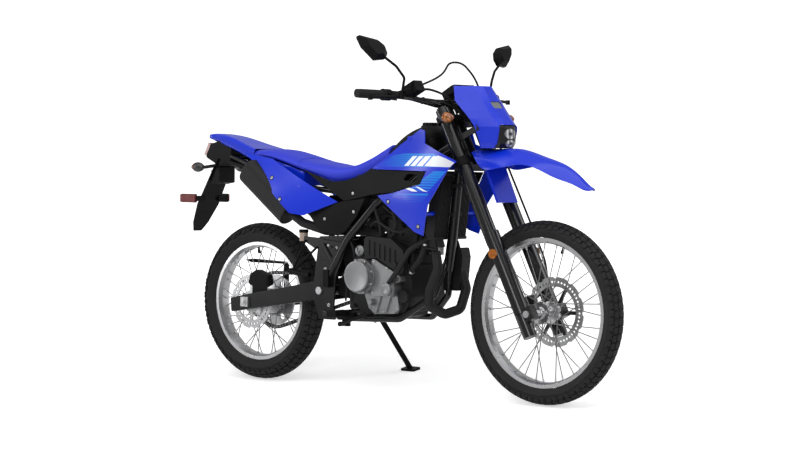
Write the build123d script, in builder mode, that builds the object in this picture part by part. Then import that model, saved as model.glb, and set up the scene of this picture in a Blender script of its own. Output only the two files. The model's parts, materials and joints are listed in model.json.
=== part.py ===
"""A dual-sport motorcycle that leans on its side stand.

The bike is drawn upright: X forward from the rear axle, Y to the left, Z up
from the ground.  The finished pieces are then leaned onto the side stand and
moved so that the origin is the bottom centre of the whole.  Millimetres.
"""
from build123d import *
from math import asin, atan2, cos, pi, radians, sin, sqrt, tan
import os

os.makedirs("parts", exist_ok=True)

# ---------------------------------------------------------------- dimensions
# Chassis geometry
WHEELBASE = 1430.0
RAKE_DEG = 27.0            # steering axis, back from the vertical
TRAIL = 103.0              # steering axis on the ground, ahead of the contact
LEAN_DEG = 10.0            # lean onto the side stand, to the left

# Wheels: an 18 inch rear and a 21 inch front
REAR_RADIUS = 320.0
REAR_TYRE_HALF = 55.0
REAR_CROWN = 50.0          # radius across the tread
REAR_RIM_R = 241.0         # outer edge of the rim flange
REAR_RIM_HALF = 32.0
FRONT_RADIUS = 343.0
FRONT_TYRE_HALF = 41.0
FRONT_CROWN = 39.0
FRONT_RIM_R = 279.0
FRONT_RIM_HALF = 26.0
RIM_DEPTH = 21.0           # from the flange to the bottom of the well
SPOKE_R = 1.8
SPOKE_COUNT = 36
SPOKE_CROSS_DEG = 45.0      # how far a spoke leads or trails its rim hole
SPOKE_STAGGER = 5.0        # heads alternate inside and outside the flange
SPOKE_SEAT = 1.4           # start of a spoke outside its flange
SPOKE_TIP = 0.95           # end of a spoke inside the rim
TYRE_FIT = 0.3             # running clearances
TURN_FIT = 0.3

# Hubs, discs, axles
REAR_AXLE_R = 8.5
FRONT_AXLE_R = 7.5
REAR_HUB_HALF = 52.0
FRONT_HUB_HALF = 46.0
REAR_FLANGE_R = 62.0
FRONT_FLANGE_R = 42.0
REAR_FLANGE_Y = 34.0
FRONT_FLANGE_Y = 31.0
HUB_BARREL_R = 26.0
DISC_THICK = 4.0
REAR_DISC_R = 110.0
REAR_DISC_Y = 72.0         # on the right
FRONT_DISC_R = 131.0
FRONT_DISC_Y = 60.0        # on the left
SPROCKET_R = 105.0
SPROCKET_Y = 74.0          # chain line, on the left
SPROCKET_THICK = 7.0
DRIVE_SPROCKET_R = 33.0
DRIVE_X = 502.0
DRIVE_Z = 400.0
CHAIN_DEPTH = 15.0
CHAIN_WIDTH = 13.0

# Fork and steering head
FORK_OFFSET = 28.0
FORK_SPREAD = 96.0         # each tube from the middle plane
FORK_OUTER_R = 27.0
FORK_INNER_R = 21.5
HEAD_TUBE_R = 30.0
STEM_R = 15.0
HEAD_LOW = 1008.0          # along the steering axis, from the ground
HEAD_HIGH = 1160.0
YOKE_GAP = 1.0
LOWER_YOKE = 32.0
UPPER_YOKE = 26.0
FORK_TOP = 1212.0
FORK_SLEEVE_END = 655.0    # where the outer tube ends
BAR_R = 11.0
GRIP_R = 16.5

# Swingarm
PIVOT_X = 420.0
PIVOT_Z = 385.0
ARM_Y_IN = 90.0
ARM_THICK = 24.0

# Frame tubes
SPAR_R = 17.0
CRADLE_R = 13.0
RAIL_R = 11.0
DOWN_TUBE_R = 19.0
FRAME_HALF = 118.0         # inner face of the pivot plates
PLATE_THICK = 8.0

# Engine
ENGINE_HALF = 100.0
CLUTCH_X = 645.0
CLUTCH_Z = 450.0
CLUTCH_R = 60.0
COVER_Y = 158.0            # outer face of the right cover
LEFT_COVER_Y = 138.0

# Body panels
SKIN = 4.0
PLATE_HOLE_R = 3.5
PLATE_HOLE_SPACING = 80.0
SEAT_HALF = 118.0
SHROUD_Y = 172.0

# Side stand
STAND_X = 492.0
STAND_Y = 154.0
STAND_Z = 275.0
STAND_LEG_R = 11.0
STAND_PIN_R = 8.0
STAND_BOSS = 14.0
STAND_FOOT_X = 540.0
STAND_FOOT_Y = 296.0
FOOT_THICK = 8.0

# ------------------------------------------------------------ derived places
S, C = sin(radians(RAKE_DEG)), cos(radians(RAKE_DEG))
REAR_AXLE = Vector(0, 0, REAR_RADIUS)
FRONT_AXLE = Vector(WHEELBASE, 0, FRONT_RADIUS)
STEER_GROUND_X = WHEELBASE + TRAIL
DRIVE_Y_IN = SPROCKET_Y - SPROCKET_THICK / 2
# the steering frame: x ahead of the axis, y left, z up along the axis
STEER = Plane(origin=(STEER_GROUND_X, 0, 0), x_dir=(C, 0, S), z_dir=(-S, 0, C))
AXLE_AHEAD = -TRAIL * C + FRONT_RADIUS * S
NOSE_X = STEER_GROUND_X - 533     # where the steering axis passes the bars
AXLE_ALONG = TRAIL * S + FRONT_RADIUS * C


def steer(ahead, left, along):
    """A point of the steering frame in the upright frame."""
    return STEER.from_local_coords(Vector(ahead, left, along))


def lean_height(y):
    """Height of the leaned ground above the upright ground at y."""
    low = -(REAR_CROWN + FRONT_CROWN) / 2 * (1 - cos(radians(LEAN_DEG)))
    return (low + y * sin(radians(LEAN_DEG))) / cos(radians(LEAN_DEG))


# ------------------------------------------------------------ shape helpers
def tube(points, bends, r, inner=0.0):
    """A round tube along straight runs joined by tangent arcs."""
    with BuildLine() as path:
        if len(points) == 2:
            Line(*points)
        else:
            FilletPolyline(*points, radius=bends)
    with BuildSketch(Plane(origin=path.line @ 0, z_dir=path.line % 0)) as section:
        Circle(r)
        if inner:
            Circle(inner, mode=Mode.SUBTRACT)
    sweep(sections=section.sketch, path=path.line)


def rod(start, end, r, mode=Mode.ADD):
    """A straight round bar between two points."""
    start, end = Vector(*start), Vector(*end)
    with BuildSketch(Plane(origin=start, z_dir=(end - start).normalized())) as section:
        Circle(r)
    extrude(to_extrude=section.sketch, amount=(end - start).length, mode=mode)


def across(x, z, r, y0, y1, mode=Mode.ADD):
    """A round bar or hole across the bike, from y0 to y1."""
    low, high = min(y0, y1), max(y0, y1)
    with BuildSketch(Plane.XZ.offset(-high)) as section:
        with Locations((x, z)):
            Circle(r)
    extrude(to_extrude=section.sketch, amount=high - low, mode=mode)


def plate(points, y0, y1, corner=0.0, mode=Mode.ADD):
    """A flat plate with a side outline in x and z, from y0 to y1."""
    low, high = min(y0, y1), max(y0, y1)
    with BuildSketch(Plane.XZ.offset(-high)) as section:
        with BuildLine() as outline:
            if corner:
                FilletPolyline(*points, radius=corner, close=True)
            else:
                Polyline(*points, close=True)
        make_face()
    extrude(to_extrude=section.sketch, amount=high - low, mode=mode)


def steering_block(a0, a1, y0, y1, h0, h1, mode=Mode.ADD):
    """A box given by its limits in the steering frame."""
    with BuildSketch(STEER.offset(h0)) as section:
        with Locations(((a0 + a1) / 2, (y0 + y1) / 2)):
            Rectangle(abs(a1 - a0), abs(y1 - y0))
    extrude(to_extrude=section.sketch, amount=h1 - h0, mode=mode)


def along_steering(ahead, left, r, h0, h1, mode=Mode.ADD):
    """A round bar or hole parallel to the steering axis."""
    with BuildSketch(STEER.offset(h0)) as section:
        with Locations((ahead, left)):
            Circle(r)
    extrude(to_extrude=section.sketch, amount=h1 - h0, mode=mode)


def hull_along_x(stations, corner):
    """A smooth body through rounded sections: x, y centre, half width, low, high."""
    faces = []
    for x, mid, half, low, high in stations:
        with BuildSketch(Plane.YZ.offset(x)) as section:
            with Locations((mid, (low + high) / 2)):
                RectangleRounded(2 * half, high - low, min(corner, 0.46 * (high - low), 0.46 * half * 2))
        faces.append(section.sketch)
    loft(sections=faces)


def shell_along_x(stations, wall):
    """An arched skin through sections: x, half width, edge z, shoulder z, ridge z."""
    faces = []
    for x, half, edge, shoulder, ridge in stations:
        with BuildSketch(Plane.YZ.offset(x)) as section:
            with BuildLine() as outline:
                Spline((-half, edge), (-0.62 * half, shoulder), (0, ridge), (0.62 * half, shoulder), (half, edge))
                Line((half, edge), (half - wall, edge))
                Spline((half - wall, edge), (0.62 * half - 0.6 * wall, shoulder - wall), (0, ridge - wall),
                       (-0.62 * half + 0.6 * wall, shoulder - wall), (-half + wall, edge))
                Line((-half + wall, edge), (-half, edge))
            make_face()
        faces.append(section.sketch)
    loft(sections=faces)


def almond(centre, half_length, r):
    """A pointed oval lamp, turned about its own long axis along X."""
    x, y, z = centre
    with BuildSketch(Plane.XZ.offset(-y)) as section:
        with BuildLine():
            Spline((x - half_length, z + 2), (x - 0.6 * half_length, z + 0.66 * r), (x - 0.1 * half_length, z + r),
                   (x + 0.5 * half_length, z + 0.86 * r), (x + 0.9 * half_length, z + 0.4 * r))
            Polyline((x + 0.9 * half_length, z + 0.4 * r), (x + half_length, z), (x - half_length, z),
                     (x - half_length, z + 2))
        make_face()
    revolve(profiles=section.sketch, axis=Axis((x, y, z), (1, 0, 0)))


def wheel_plane(x):
    """The half plane above an axle, in which a wheel's profile is drawn."""
    return Plane.YZ.offset(x)


def ring_profile(x, z, points):
    """Revolve a profile of y and radius about the axle at x, z."""
    with BuildSketch(wheel_plane(x)) as section:
        with BuildLine() as outline:
            Polyline(*[(y, z + r) for y, r in points], close=True)
        make_face()
    revolve(profiles=section.sketch, axis=Axis((x, 0, z), (0, 1, 0)))


def tyre_section(x, z, outer, half, crown, rim_r, rim_half):
    """A tyre: round crown, bulged walls, beads on the rim."""
    wall_top = outer - 0.62 * half
    with BuildSketch(wheel_plane(x)) as section:
        with BuildLine() as outline:
            reach = 0.74 * half
            drop = crown - sqrt(crown ** 2 - reach ** 2)
            ThreePointArc((-reach, z + outer - drop), (0, z + outer), (reach, z + outer - drop))
            Spline((reach, z + outer - drop), (half, z + wall_top), (rim_half - 2, z + rim_r + TYRE_FIT))
            Line((rim_half - 2, z + rim_r + TYRE_FIT), (-rim_half + 2, z + rim_r + TYRE_FIT))
            Spline((-rim_half + 2, z + rim_r + TYRE_FIT), (-half, z + wall_top), (-reach, z + outer - drop))
        make_face()
    revolve(profiles=section.sketch, axis=Axis((x, 0, z), (0, 1, 0)))


def rim_section(x, z, rim_r, half):
    """An aluminium rim: two flanges and a dropped well."""
    well = rim_r - RIM_DEPTH
    ring_profile(x, z, [(-half, rim_r), (-half, rim_r - 13), (-0.55 * half, well), (0.55 * half, well),
                        (half, rim_r - 13), (half, rim_r), (half - 3, rim_r), (half - 3, rim_r - 10),
                        (0.5 * half, well + 4), (-0.5 * half, well + 4), (-half + 3, rim_r - 10),
                        (-half + 3, rim_r)])


def spoke_ends(index, flange_r, flange_y, rim_inner, rim_y):
    """Two ends of a crossed spoke, as y, angle and radius."""
    side = 1 if index % 2 else -1
    lead = 1 if (index // 2) % 2 else -1
    rim_angle = 360.0 * index / SPOKE_COUNT
    hub_angle = rim_angle + lead * SPOKE_CROSS_DEG
    return side * (flange_y + lead * SPOKE_STAGGER), radians(hub_angle), flange_r, side * rim_y, radians(rim_angle), rim_inner


def wheel_spokes(x, z, flange_r, flange_y, rim_inner, rim_y):
    """Crossed wire spokes between the hub flanges and the rim."""
    for index in range(SPOKE_COUNT):
        y0, a0, r0, y1, a1, r1 = spoke_ends(index, flange_r, flange_y, rim_inner, rim_y)
        start = (x + r0 * sin(a0), y0, z + r0 * cos(a0))
        end = (x + r1 * sin(a1), y1, z + r1 * cos(a1))
        rod(start, end, SPOKE_R)


def wavy_disc(x, z, y, outer, inner, thick, waves, holes):
    """A brake disc with a scalloped edge, drilled round its band."""
    with BuildSketch(Plane.XZ.offset(-(y + thick / 2))) as section:
        with Locations((x, z)):
            Circle(outer)
            Circle(inner, mode=Mode.SUBTRACT)
        with Locations((x, z)):
            with PolarLocations(outer + 7, waves):
                Circle(13, mode=Mode.SUBTRACT)
            with PolarLocations((outer + inner) / 2 - 1, holes):
                Circle(4.5, mode=Mode.SUBTRACT)
    extrude(to_extrude=section.sketch, amount=thick)


# =================================================================== REAR WHEEL
with BuildPart() as rear_tyre:
    tyre_section(0, REAR_RADIUS, REAR_RADIUS, REAR_TYRE_HALF, REAR_CROWN, REAR_RIM_R, REAR_RIM_HALF)
rear_tyre.part.label = "rear_tyre"

with BuildPart() as rear_rim:
    rim_section(0, REAR_RADIUS, REAR_RIM_R, REAR_RIM_HALF)
rear_rim.part.label = "rear_rim"

with BuildPart() as rear_hub:
    ring_profile(0, REAR_RADIUS, [
        (-REAR_HUB_HALF, REAR_AXLE_R + TURN_FIT), (-REAR_HUB_HALF, 22), (-REAR_FLANGE_Y - 6, 34),
        (-REAR_FLANGE_Y - 3, REAR_FLANGE_R), (-REAR_FLANGE_Y + 3, REAR_FLANGE_R),
        (-REAR_FLANGE_Y + 8, 34), (0, HUB_BARREL_R), (REAR_FLANGE_Y - 8, 34),
        (REAR_FLANGE_Y - 3, REAR_FLANGE_R), (REAR_FLANGE_Y + 3, REAR_FLANGE_R),
        (REAR_FLANGE_Y + 6, 46), (REAR_HUB_HALF, 46), (REAR_HUB_HALF, REAR_AXLE_R + TURN_FIT)])
    # the disc carrier on the right and the sprocket carrier on the left
    ring_profile(0, REAR_RADIUS, [
        (-REAR_DISC_Y + DISC_THICK / 2, 20), (-REAR_DISC_Y + DISC_THICK / 2, 42),
        (-REAR_HUB_HALF - 4, 40), (-REAR_HUB_HALF + 1, 34), (-REAR_HUB_HALF + 1, 20)])
    ring_profile(0, REAR_RADIUS, [
        (SPROCKET_Y - SPROCKET_THICK / 2, 20), (SPROCKET_Y - SPROCKET_THICK / 2, 58),
        (REAR_HUB_HALF - 1, 46), (REAR_HUB_HALF - 1, 20)])
rear_hub.part.label = "rear_hub"

with BuildPart() as rear_spokes:
    wheel_spokes(0, REAR_RADIUS, REAR_FLANGE_R + SPOKE_SEAT, REAR_FLANGE_Y,
                 REAR_RIM_R - RIM_DEPTH - SPOKE_TIP, 8)
rear_spokes.part.label = "rear_spokes"

with BuildPart() as rear_disc:
    wavy_disc(0, REAR_RADIUS, -REAR_DISC_Y, REAR_DISC_R, 76, DISC_THICK, 12, 36)
    with BuildSketch(Plane.XZ.offset(REAR_DISC_Y - DISC_THICK / 2)) as spider:
        with Locations((0, REAR_RADIUS)):
            Circle(46)
            Circle(20, mode=Mode.SUBTRACT)
            with PolarLocations(60, 4):
                Rectangle(44, 16)
    extrude(to_extrude=spider.sketch, amount=DISC_THICK)
rear_disc.part.label = "rear_disc"

with BuildPart() as rear_sprocket:
    with BuildSketch(Plane.XZ.offset(-(SPROCKET_Y + SPROCKET_THICK / 2))) as ring:
        with Locations((0, REAR_RADIUS)):
            Circle(SPROCKET_R - 2)
            Circle(20, mode=Mode.SUBTRACT)
            with PolarLocations(76, 6):
                Circle(14, mode=Mode.SUBTRACT)
    extrude(to_extrude=ring.sketch, amount=SPROCKET_THICK)
rear_sprocket.part.label = "rear_sprocket"

# ================================================================== FRONT WHEEL
with BuildPart() as front_tyre:
    tyre_section(WHEELBASE, FRONT_RADIUS, FRONT_RADIUS, FRONT_TYRE_HALF, FRONT_CROWN, FRONT_RIM_R, FRONT_RIM_HALF)
front_tyre.part.label = "front_tyre"

with BuildPart() as front_rim:
    rim_section(WHEELBASE, FRONT_RADIUS, FRONT_RIM_R, FRONT_RIM_HALF)
front_rim.part.label = "front_rim"

with BuildPart() as front_hub:
    ring_profile(WHEELBASE, FRONT_RADIUS, [
        (-FRONT_HUB_HALF, FRONT_AXLE_R + TURN_FIT), (-FRONT_HUB_HALF, 20), (-FRONT_FLANGE_Y - 4, 24),
        (-FRONT_FLANGE_Y - 3, FRONT_FLANGE_R), (-FRONT_FLANGE_Y + 3, FRONT_FLANGE_R),
        (-FRONT_FLANGE_Y + 7, 24), (0, 20), (FRONT_FLANGE_Y - 7, 24),
        (FRONT_FLANGE_Y - 3, FRONT_FLANGE_R), (FRONT_FLANGE_Y + 3, FRONT_FLANGE_R),
        (FRONT_FLANGE_Y + 5, 32), (FRONT_DISC_Y - DISC_THICK / 2, 34),
        (FRONT_DISC_Y - DISC_THICK / 2, FRONT_AXLE_R + TURN_FIT)])
front_hub.part.label = "front_hub"

with BuildPart() as front_spokes:
    wheel_spokes(WHEELBASE, FRONT_RADIUS, FRONT_FLANGE_R + SPOKE_SEAT, FRONT_FLANGE_Y,
                 FRONT_RIM_R - RIM_DEPTH - SPOKE_TIP, 7)
front_spokes.part.label = "front_spokes"

with BuildPart() as front_disc:
    wavy_disc(WHEELBASE, FRONT_RADIUS, FRONT_DISC_Y, FRONT_DISC_R, 95, DISC_THICK, 12, 48)
    with BuildSketch(Plane.XZ.offset(-(FRONT_DISC_Y + DISC_THICK / 2))) as spider:
        with Locations((WHEELBASE, FRONT_RADIUS)):
            Circle(38)
            Circle(16, mode=Mode.SUBTRACT)
            with PolarLocations(66, 6):
                Rectangle(70, 14)
    extrude(to_extrude=spider.sketch, amount=DISC_THICK)
front_disc.part.label = "front_disc"

# ===================================================================== FRAME
HEAD_CROWN = steer(0, 0, HEAD_HIGH)
PLATE_MID = FRAME_HALF + PLATE_THICK / 2
STAND_PIVOT = Vector(STAND_X, STAND_Y, STAND_Z)
STAND_AXIS = Vector(0, cos(radians(22)), sin(radians(22)))
with BuildPart() as frame:
    along_steering(0, 0, HEAD_TUBE_R, HEAD_LOW, HEAD_HIGH)
    tube([(NOSE_X + 28, 0, 960), (985, 0, 600), (966, 0, 480)], 60, DOWN_TUBE_R)
    for side in (-1, 1):
        tube([(HEAD_CROWN.X + 12, side * 10, HEAD_CROWN.Z - 60), (920, side * 58, 905), (800, side * 84, 810),
              (690, side * 104, 732), (560, side * PLATE_MID, 590), (PIVOT_X + 34, side * PLATE_MID, PIVOT_Z + 40)],
             60, SPAR_R)
        tube([(968, side * 3, 525), (935, side * 44, 385), (812, side * 100, 291),
              (590, side * PLATE_MID, 285), (445, side * PLATE_MID, 300)], 38, CRADLE_R)
    for side in (-1, 1):
        plate([(PIVOT_X - 34, PIVOT_Z - 30), (PIVOT_X - 30, PIVOT_Z + 50), (PIVOT_X - 4, PIVOT_Z + 214),
               (PIVOT_X + 160, PIVOT_Z + 222), (PIVOT_X + 84, PIVOT_Z + 60), (PIVOT_X + 72, PIVOT_Z - 60),
               (PIVOT_X + 86, PIVOT_Z - 112), (PIVOT_X, PIVOT_Z - 112)],
              side * (FRAME_HALF + PLATE_THICK), side * FRAME_HALF, 9)
        # raised triangle that carries the passenger peg
        plate([(PIVOT_X + 3, PIVOT_Z + 204), (PIVOT_X + 136, PIVOT_Z + 192), (PIVOT_X + 76, PIVOT_Z + 104)],
              side * (FRAME_HALF + PLATE_THICK + 9), side * (FRAME_HALF + 2), 7)
        plate([(PIVOT_X + 25, PIVOT_Z + 188), (PIVOT_X + 108, PIVOT_Z + 181), (PIVOT_X + 71, PIVOT_Z + 127)],
              side * (FRAME_HALF + PLATE_THICK + 10), side * (FRAME_HALF + PLATE_THICK + 3), 3, mode=Mode.SUBTRACT)
        for x, z in ((PIVOT_X + 60, PIVOT_Z + 174), (PIVOT_X + 84, PIVOT_Z + 168)):
            across(x, z, 6, side * (FRAME_HALF + PLATE_THICK + 7), side * (FRAME_HALF + PLATE_THICK))
        # ear behind the plate for the peg stays
        plate([(PIVOT_X - 92, PIVOT_Z + 196), (PIVOT_X - 92, PIVOT_Z + 212), (PIVOT_X + 6, PIVOT_Z + 207),
               (PIVOT_X - 8, PIVOT_Z + 164), (PIVOT_X - 26, PIVOT_Z + 164)],
              side * (FRAME_HALF + PLATE_THICK), side * FRAME_HALF, 4)
    for x, z in ((PIVOT_X + 62, PIVOT_Z + 200), (PIVOT_X + 40, PIVOT_Z - 92)):
        across(x, z, 13, -PLATE_MID, PLATE_MID)
    across(805, 813, 11, -84, 84)
    # side stand bracket with its pin
    rod(STAND_PIVOT - STAND_AXIS * 34, STAND_PIVOT - STAND_AXIS * (STAND_BOSS / 2 + TURN_FIT), 15)
    rod(STAND_PIVOT - STAND_AXIS * 10, STAND_PIVOT + STAND_AXIS * (STAND_BOSS / 2 + 5), STAND_PIN_R)
    rod(STAND_PIVOT + STAND_AXIS * (STAND_BOSS / 2 + TURN_FIT), STAND_PIVOT + STAND_AXIS * (STAND_BOSS / 2 + 6), 12)
    along_steering(0, 0, STEM_R + TURN_FIT, HEAD_LOW - 1, HEAD_HIGH + 1, mode=Mode.SUBTRACT)
    across(PIVOT_X, PIVOT_Z, 9, -200, 200, mode=Mode.SUBTRACT)
frame.part.label = "frame"

# ================================================================ SEAT
with BuildPart() as seat:
    hull_along_x([(-6, 0, 86, 906, 936), (40, 0, 102, 902, 942), (120, 0, 114, 896, 941),
                  (200, 0, SEAT_HALF, 880, 925), (300, 0, SEAT_HALF + 2, 852, 901), (390, 0, SEAT_HALF, 824, 888),
                  (465, 0, SEAT_HALF - 7, 800, 880), (540, 0, SEAT_HALF - 19, 806, 887),
                  (610, 0, SEAT_HALF - 33, 828, 922), (665, 0, SEAT_HALF - 43, 854, 955),
                  (712, 0, SEAT_HALF - 53, 882, 971)], 22)
seat.part.label = "seat"

# ================================================================ SUBFRAME
with BuildPart() as subframe:
    for side in (-1, 1):
        tube([(742, side * 92, 768), (560, side * 84, 768), (300, side * 80, 790), (60, side * 64, 852),
              (-150, side * 40, 908)], 90, RAIL_R)
        tube([(480, side * 116, 596), (410, side * 92, 640), (60, side * 64, 848)], 40, RAIL_R - 1)
        # rubber feet under the seat
        for x, y, z in ((150, 70, 825), (430, 82, 775), (590, 84, 768)):
            with BuildSketch(Plane.XY.offset(z)) as foot:
                with Locations((x, side * y)):
                    Circle(9)
            extrude(to_extrude=foot.sketch, amount=75)
    across(60, 851, RAIL_R - 1, -64, 64)
    across(560, 768, RAIL_R, -84, 84)
    across(-140, 906, RAIL_R - 1, -42, 42)
    add(frame.part, mode=Mode.SUBTRACT)
    add(seat.part, mode=Mode.SUBTRACT)
subframe.part.label = "subframe"

# ================================================================ ENGINE
with BuildPart() as engine_cases:
    plate([(555, 345), (555, 470), (590, 530), (700, 545), (860, 500), (872, 380), (835, 318), (640, 300)],
          -ENGINE_HALF, ENGINE_HALF, 14)
    # ribbed black cover over the gearbox on the right
    plate([(652, 516), (648, 596), (664, 606), (784, 600), (846, 556), (850, 478), (838, 462), (712, 524)],
          -ENGINE_HALF + 1, -COVER_Y + 32, 8)
    for rib in range(6):
        plate([(672 + 26 * rib, 520 - 6 * rib + 14), (677 + 26 * rib, 520 - 6 * rib + 14),
               (677 + 26 * rib, 592 - 7 * rib), (672 + 26 * rib, 592 - 7 * rib)], -COVER_Y + 33, -COVER_Y + 28)
    across(806, 500, 13, -COVER_Y + 33, -COVER_Y + 24)
    # oil filter housing and sump
    across(842, 380, 24, -ENGINE_HALF + 1, -COVER_Y + 36)
    plate([(660, 296), (660, 306), (820, 322), (806, 300), (760, 288)], -70, 70)
    # lugs to the frame
    across(PIVOT_X + 60 + 96, 330, 12, -FRAME_HALF + 8, FRAME_HALF - 8)
    # gearbox end with the output shaft, and the drive sprocket
    plate([(470, 368), (470, 432), (560, 470), (560, 350)], -72, DRIVE_Y_IN - 4)
    across(DRIVE_X, DRIVE_Z, 13, DRIVE_Y_IN - 6, SPROCKET_Y)
    across(DRIVE_X, DRIVE_Z, DRIVE_SPROCKET_R - 2, DRIVE_Y_IN, DRIVE_Y_IN + SPROCKET_THICK)
    for side in (-1, 1):
        plate([(500, 460), (470, 575), (496, 590), (600, 530), (600, 480)], side * 30, side * 60)
    add(frame.part, mode=Mode.SUBTRACT)
engine_cases.part.label = "engine_cases"

with BuildPart() as engine_covers:
    # right: clutch cover, triangular cover and water pump
    across(CLUTCH_X, CLUTCH_Z, CLUTCH_R + 8, -ENGINE_HALF, -COVER_Y + 16)
    across(CLUTCH_X - 6, CLUTCH_Z, CLUTCH_R - 4, -ENGINE_HALF, -COVER_Y)
    across(CLUTCH_X - 6, CLUTCH_Z, CLUTCH_R - 8, -COVER_Y, -COVER_Y - 3)
    plate([(694, 520), (706, 518), (836, 458), (840, 438), (806, 428), (770, 378), (690, 378)],
          -ENGINE_HALF, -COVER_Y + 26, 6)
    across(787, 408, 32, -ENGINE_HALF, -COVER_Y + 14)
    across(787, 408, 25, -ENGINE_HALF, -COVER_Y + 2)
    across(787, 408, 15, -ENGINE_HALF, -COVER_Y - 6)
    # lower case with the filler and its ribs
    plate([(640, 400), (700, 396), (812, 384), (822, 330), (800, 312), (700, 306), (668, 330)],
          -ENGINE_HALF, -COVER_Y + 40, 8)
    plate([(704, 312), (712, 312), (734, 376), (726, 376)], -COVER_Y + 41, -COVER_Y + 34)
    plate([(752, 314), (760, 314), (782, 372), (774, 372)], -COVER_Y + 41, -COVER_Y + 34)
    across(690, 352, 13, -COVER_Y + 41, -COVER_Y + 26)
    for turn in range(8):
        angle = radians(45 * turn + 20)
        across(CLUTCH_X + 64 * cos(angle), CLUTCH_Z + 64 * sin(angle), 5, -COVER_Y + 17, -COVER_Y + 11)
    # left: generator cover and drive sprocket cover
    across(745, 425, 68, ENGINE_HALF, LEFT_COVER_Y)
    across(745, 425, 40, ENGINE_HALF, LEFT_COVER_Y + 10)
    plate([(630, 350), (630, 500), (690, 500), (690, 350)], ENGINE_HALF, LEFT_COVER_Y - 12, 10)
engine_covers.part.label = "engine_covers"

with BuildPart() as cylinder:
    lean = Plane(origin=(775, 0, 505), x_dir=(cos(radians(8)), 0, -sin(radians(8))),
                 z_dir=(sin(radians(8)), 0, cos(radians(8))))
    with BuildSketch(lean) as barrel:
        RectangleRounded(150, 150, 14)
    extrude(amount=85)
    for level in range(5):
        with BuildSketch(lean.offset(44 + 9 * level)) as fin:
            RectangleRounded(164, 164, 18)
        extrude(amount=4)
    with BuildSketch(lean.offset(85)) as head_block:
        RectangleRounded(156, 140, 16)
    extrude(amount=75)
    with BuildSketch(lean.offset(160)) as rocker:
        RectangleRounded(120, 118, 16)
    extrude(amount=32)
    # intake and exhaust ports
    rod((712, 0, 640), (620, 0, 668), 24)
    rod((668, -6, 652), (646, -6, 659), 34)
    rod((662, -30, 654), (662, -58, 654), 16)
    rod((800, -58, 640), (812, -92, 668), 9)
    rod((812, -92, 668), (806, -98, 700), 7)
    rod((846, -40, 655), (872, -52, 690), 15)
    for level in (0, 1, 2):
        rod((732 + 30 * level, -66, 626 - 4 * level), (732 + 30 * level, -76, 626 - 4 * level), 7)
    rod((850, -20, 600), (884, -34, 588), 24)
    add(engine_cases.part, mode=Mode.SUBTRACT)
    add(frame.part, mode=Mode.SUBTRACT)
cylinder.part.label = "cylinder"

with BuildPart() as airbox:
    plate([(430, 640), (410, 760), (640, 765), (590, 640)], -68, 68, 12)
    rod((600, 0, 674), (500, 0, 690), 27)
    add(frame.part, mode=Mode.SUBTRACT)
    add(subframe.part, mode=Mode.SUBTRACT)
    add(cylinder.part, mode=Mode.SUBTRACT)
airbox.part.label = "airbox"

# ================================================================ EXHAUST
with BuildPart() as exhaust_pipe:
    tube([(885, -34, 588), (962, -72, 556), (984, -82, 490), (944, -82, 408), (930, -70, 346),
          (972, -24, 314), (1006, 28, 334), (1004, 66, 410), (976, 72, 480)],
         [26, 30, 60, 26, 30, 30, 30], 19)
    plate([(905, 400), (912, 500), (938, 545), (990, 572), (1000, 532), (986, 402)], 46, 98, 8)
    add(cylinder.part, mode=Mode.SUBTRACT)
    add(frame.part, mode=Mode.SUBTRACT)
exhaust_pipe.part.label = "exhaust_pipe"

MUFFLER_DIR = Vector(-179, 0, 134).normalized()
with BuildPart() as muffler:
    body = Plane(origin=(268, -136, 686), x_dir=(0, 1, 0), z_dir=MUFFLER_DIR)
    with BuildSketch(body) as section:
        RectangleRounded(84, 108, 38)
    extrude(amount=290)
    fillet(muffler.faces().sort_by(Axis.X)[0].edges(), 16)
    with BuildSketch(body.offset(289)) as outlet:
        with Locations((0, 12)):
            Circle(17)
            Circle(13, mode=Mode.SUBTRACT)
    extrude(amount=16)
    # link pipe from the engine, inside the frame
    tube([(700, -60, 600), (600, -58, 625), (430, -100, 620), (330, -128, 650), (268, -136, 690)],
         [60, 40, 40], 18)
    add(frame.part, mode=Mode.SUBTRACT)
    add(subframe.part, mode=Mode.SUBTRACT)
    add(airbox.part, mode=Mode.SUBTRACT)
    add(cylinder.part, mode=Mode.SUBTRACT)
muffler.part.label = "muffler"

# ============================================================== SWINGARM
with BuildPart() as swingarm:
    for side in (-1, 1):
        plate([(-79, REAR_RADIUS + 13), (20, REAR_RADIUS + 33), (251, 394), (366, 417), (PIVOT_X, PIVOT_Z + 34),
               (PIVOT_X + 26, PIVOT_Z), (PIVOT_X, PIVOT_Z - 34), (20, REAR_RADIUS - 29), (-75, REAR_RADIUS - 44)],
              side * ARM_Y_IN, side * (ARM_Y_IN + ARM_THICK), 8)
        # axle block and chain adjuster
        plate([(-70, REAR_RADIUS - 36), (-70, REAR_RADIUS + 8), (-26, REAR_RADIUS + 20), (30, REAR_RADIUS + 22),
               (34, REAR_RADIUS - 20), (-20, REAR_RADIUS - 30)],
              side * (ARM_Y_IN + ARM_THICK - 1), side * (ARM_Y_IN + ARM_THICK + 3), 8)
        across(-72, REAR_RADIUS - 14, 7, side * (ARM_Y_IN + 4), side * (ARM_Y_IN + ARM_THICK - 4))
    plate([(REAR_RADIUS + 16, 366), (REAR_RADIUS + 16, 408), (392, 412), (392, 364)], -ARM_Y_IN - 2, ARM_Y_IN + 2, 8)
    across(PIVOT_X, PIVOT_Z, 20, -FRAME_HALF + 0.5, FRAME_HALF - 0.5)
    # shock bracket on the cross member
    plate([(350, 405), (352, 436), (388, 436), (392, 405)], -22, 22, 6)
    across(PIVOT_X, PIVOT_Z, 9, -200, 200, mode=Mode.SUBTRACT)
    across(0, REAR_RADIUS, REAR_AXLE_R, -200, 200, mode=Mode.SUBTRACT)
swingarm.part.label = "swingarm"

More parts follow.
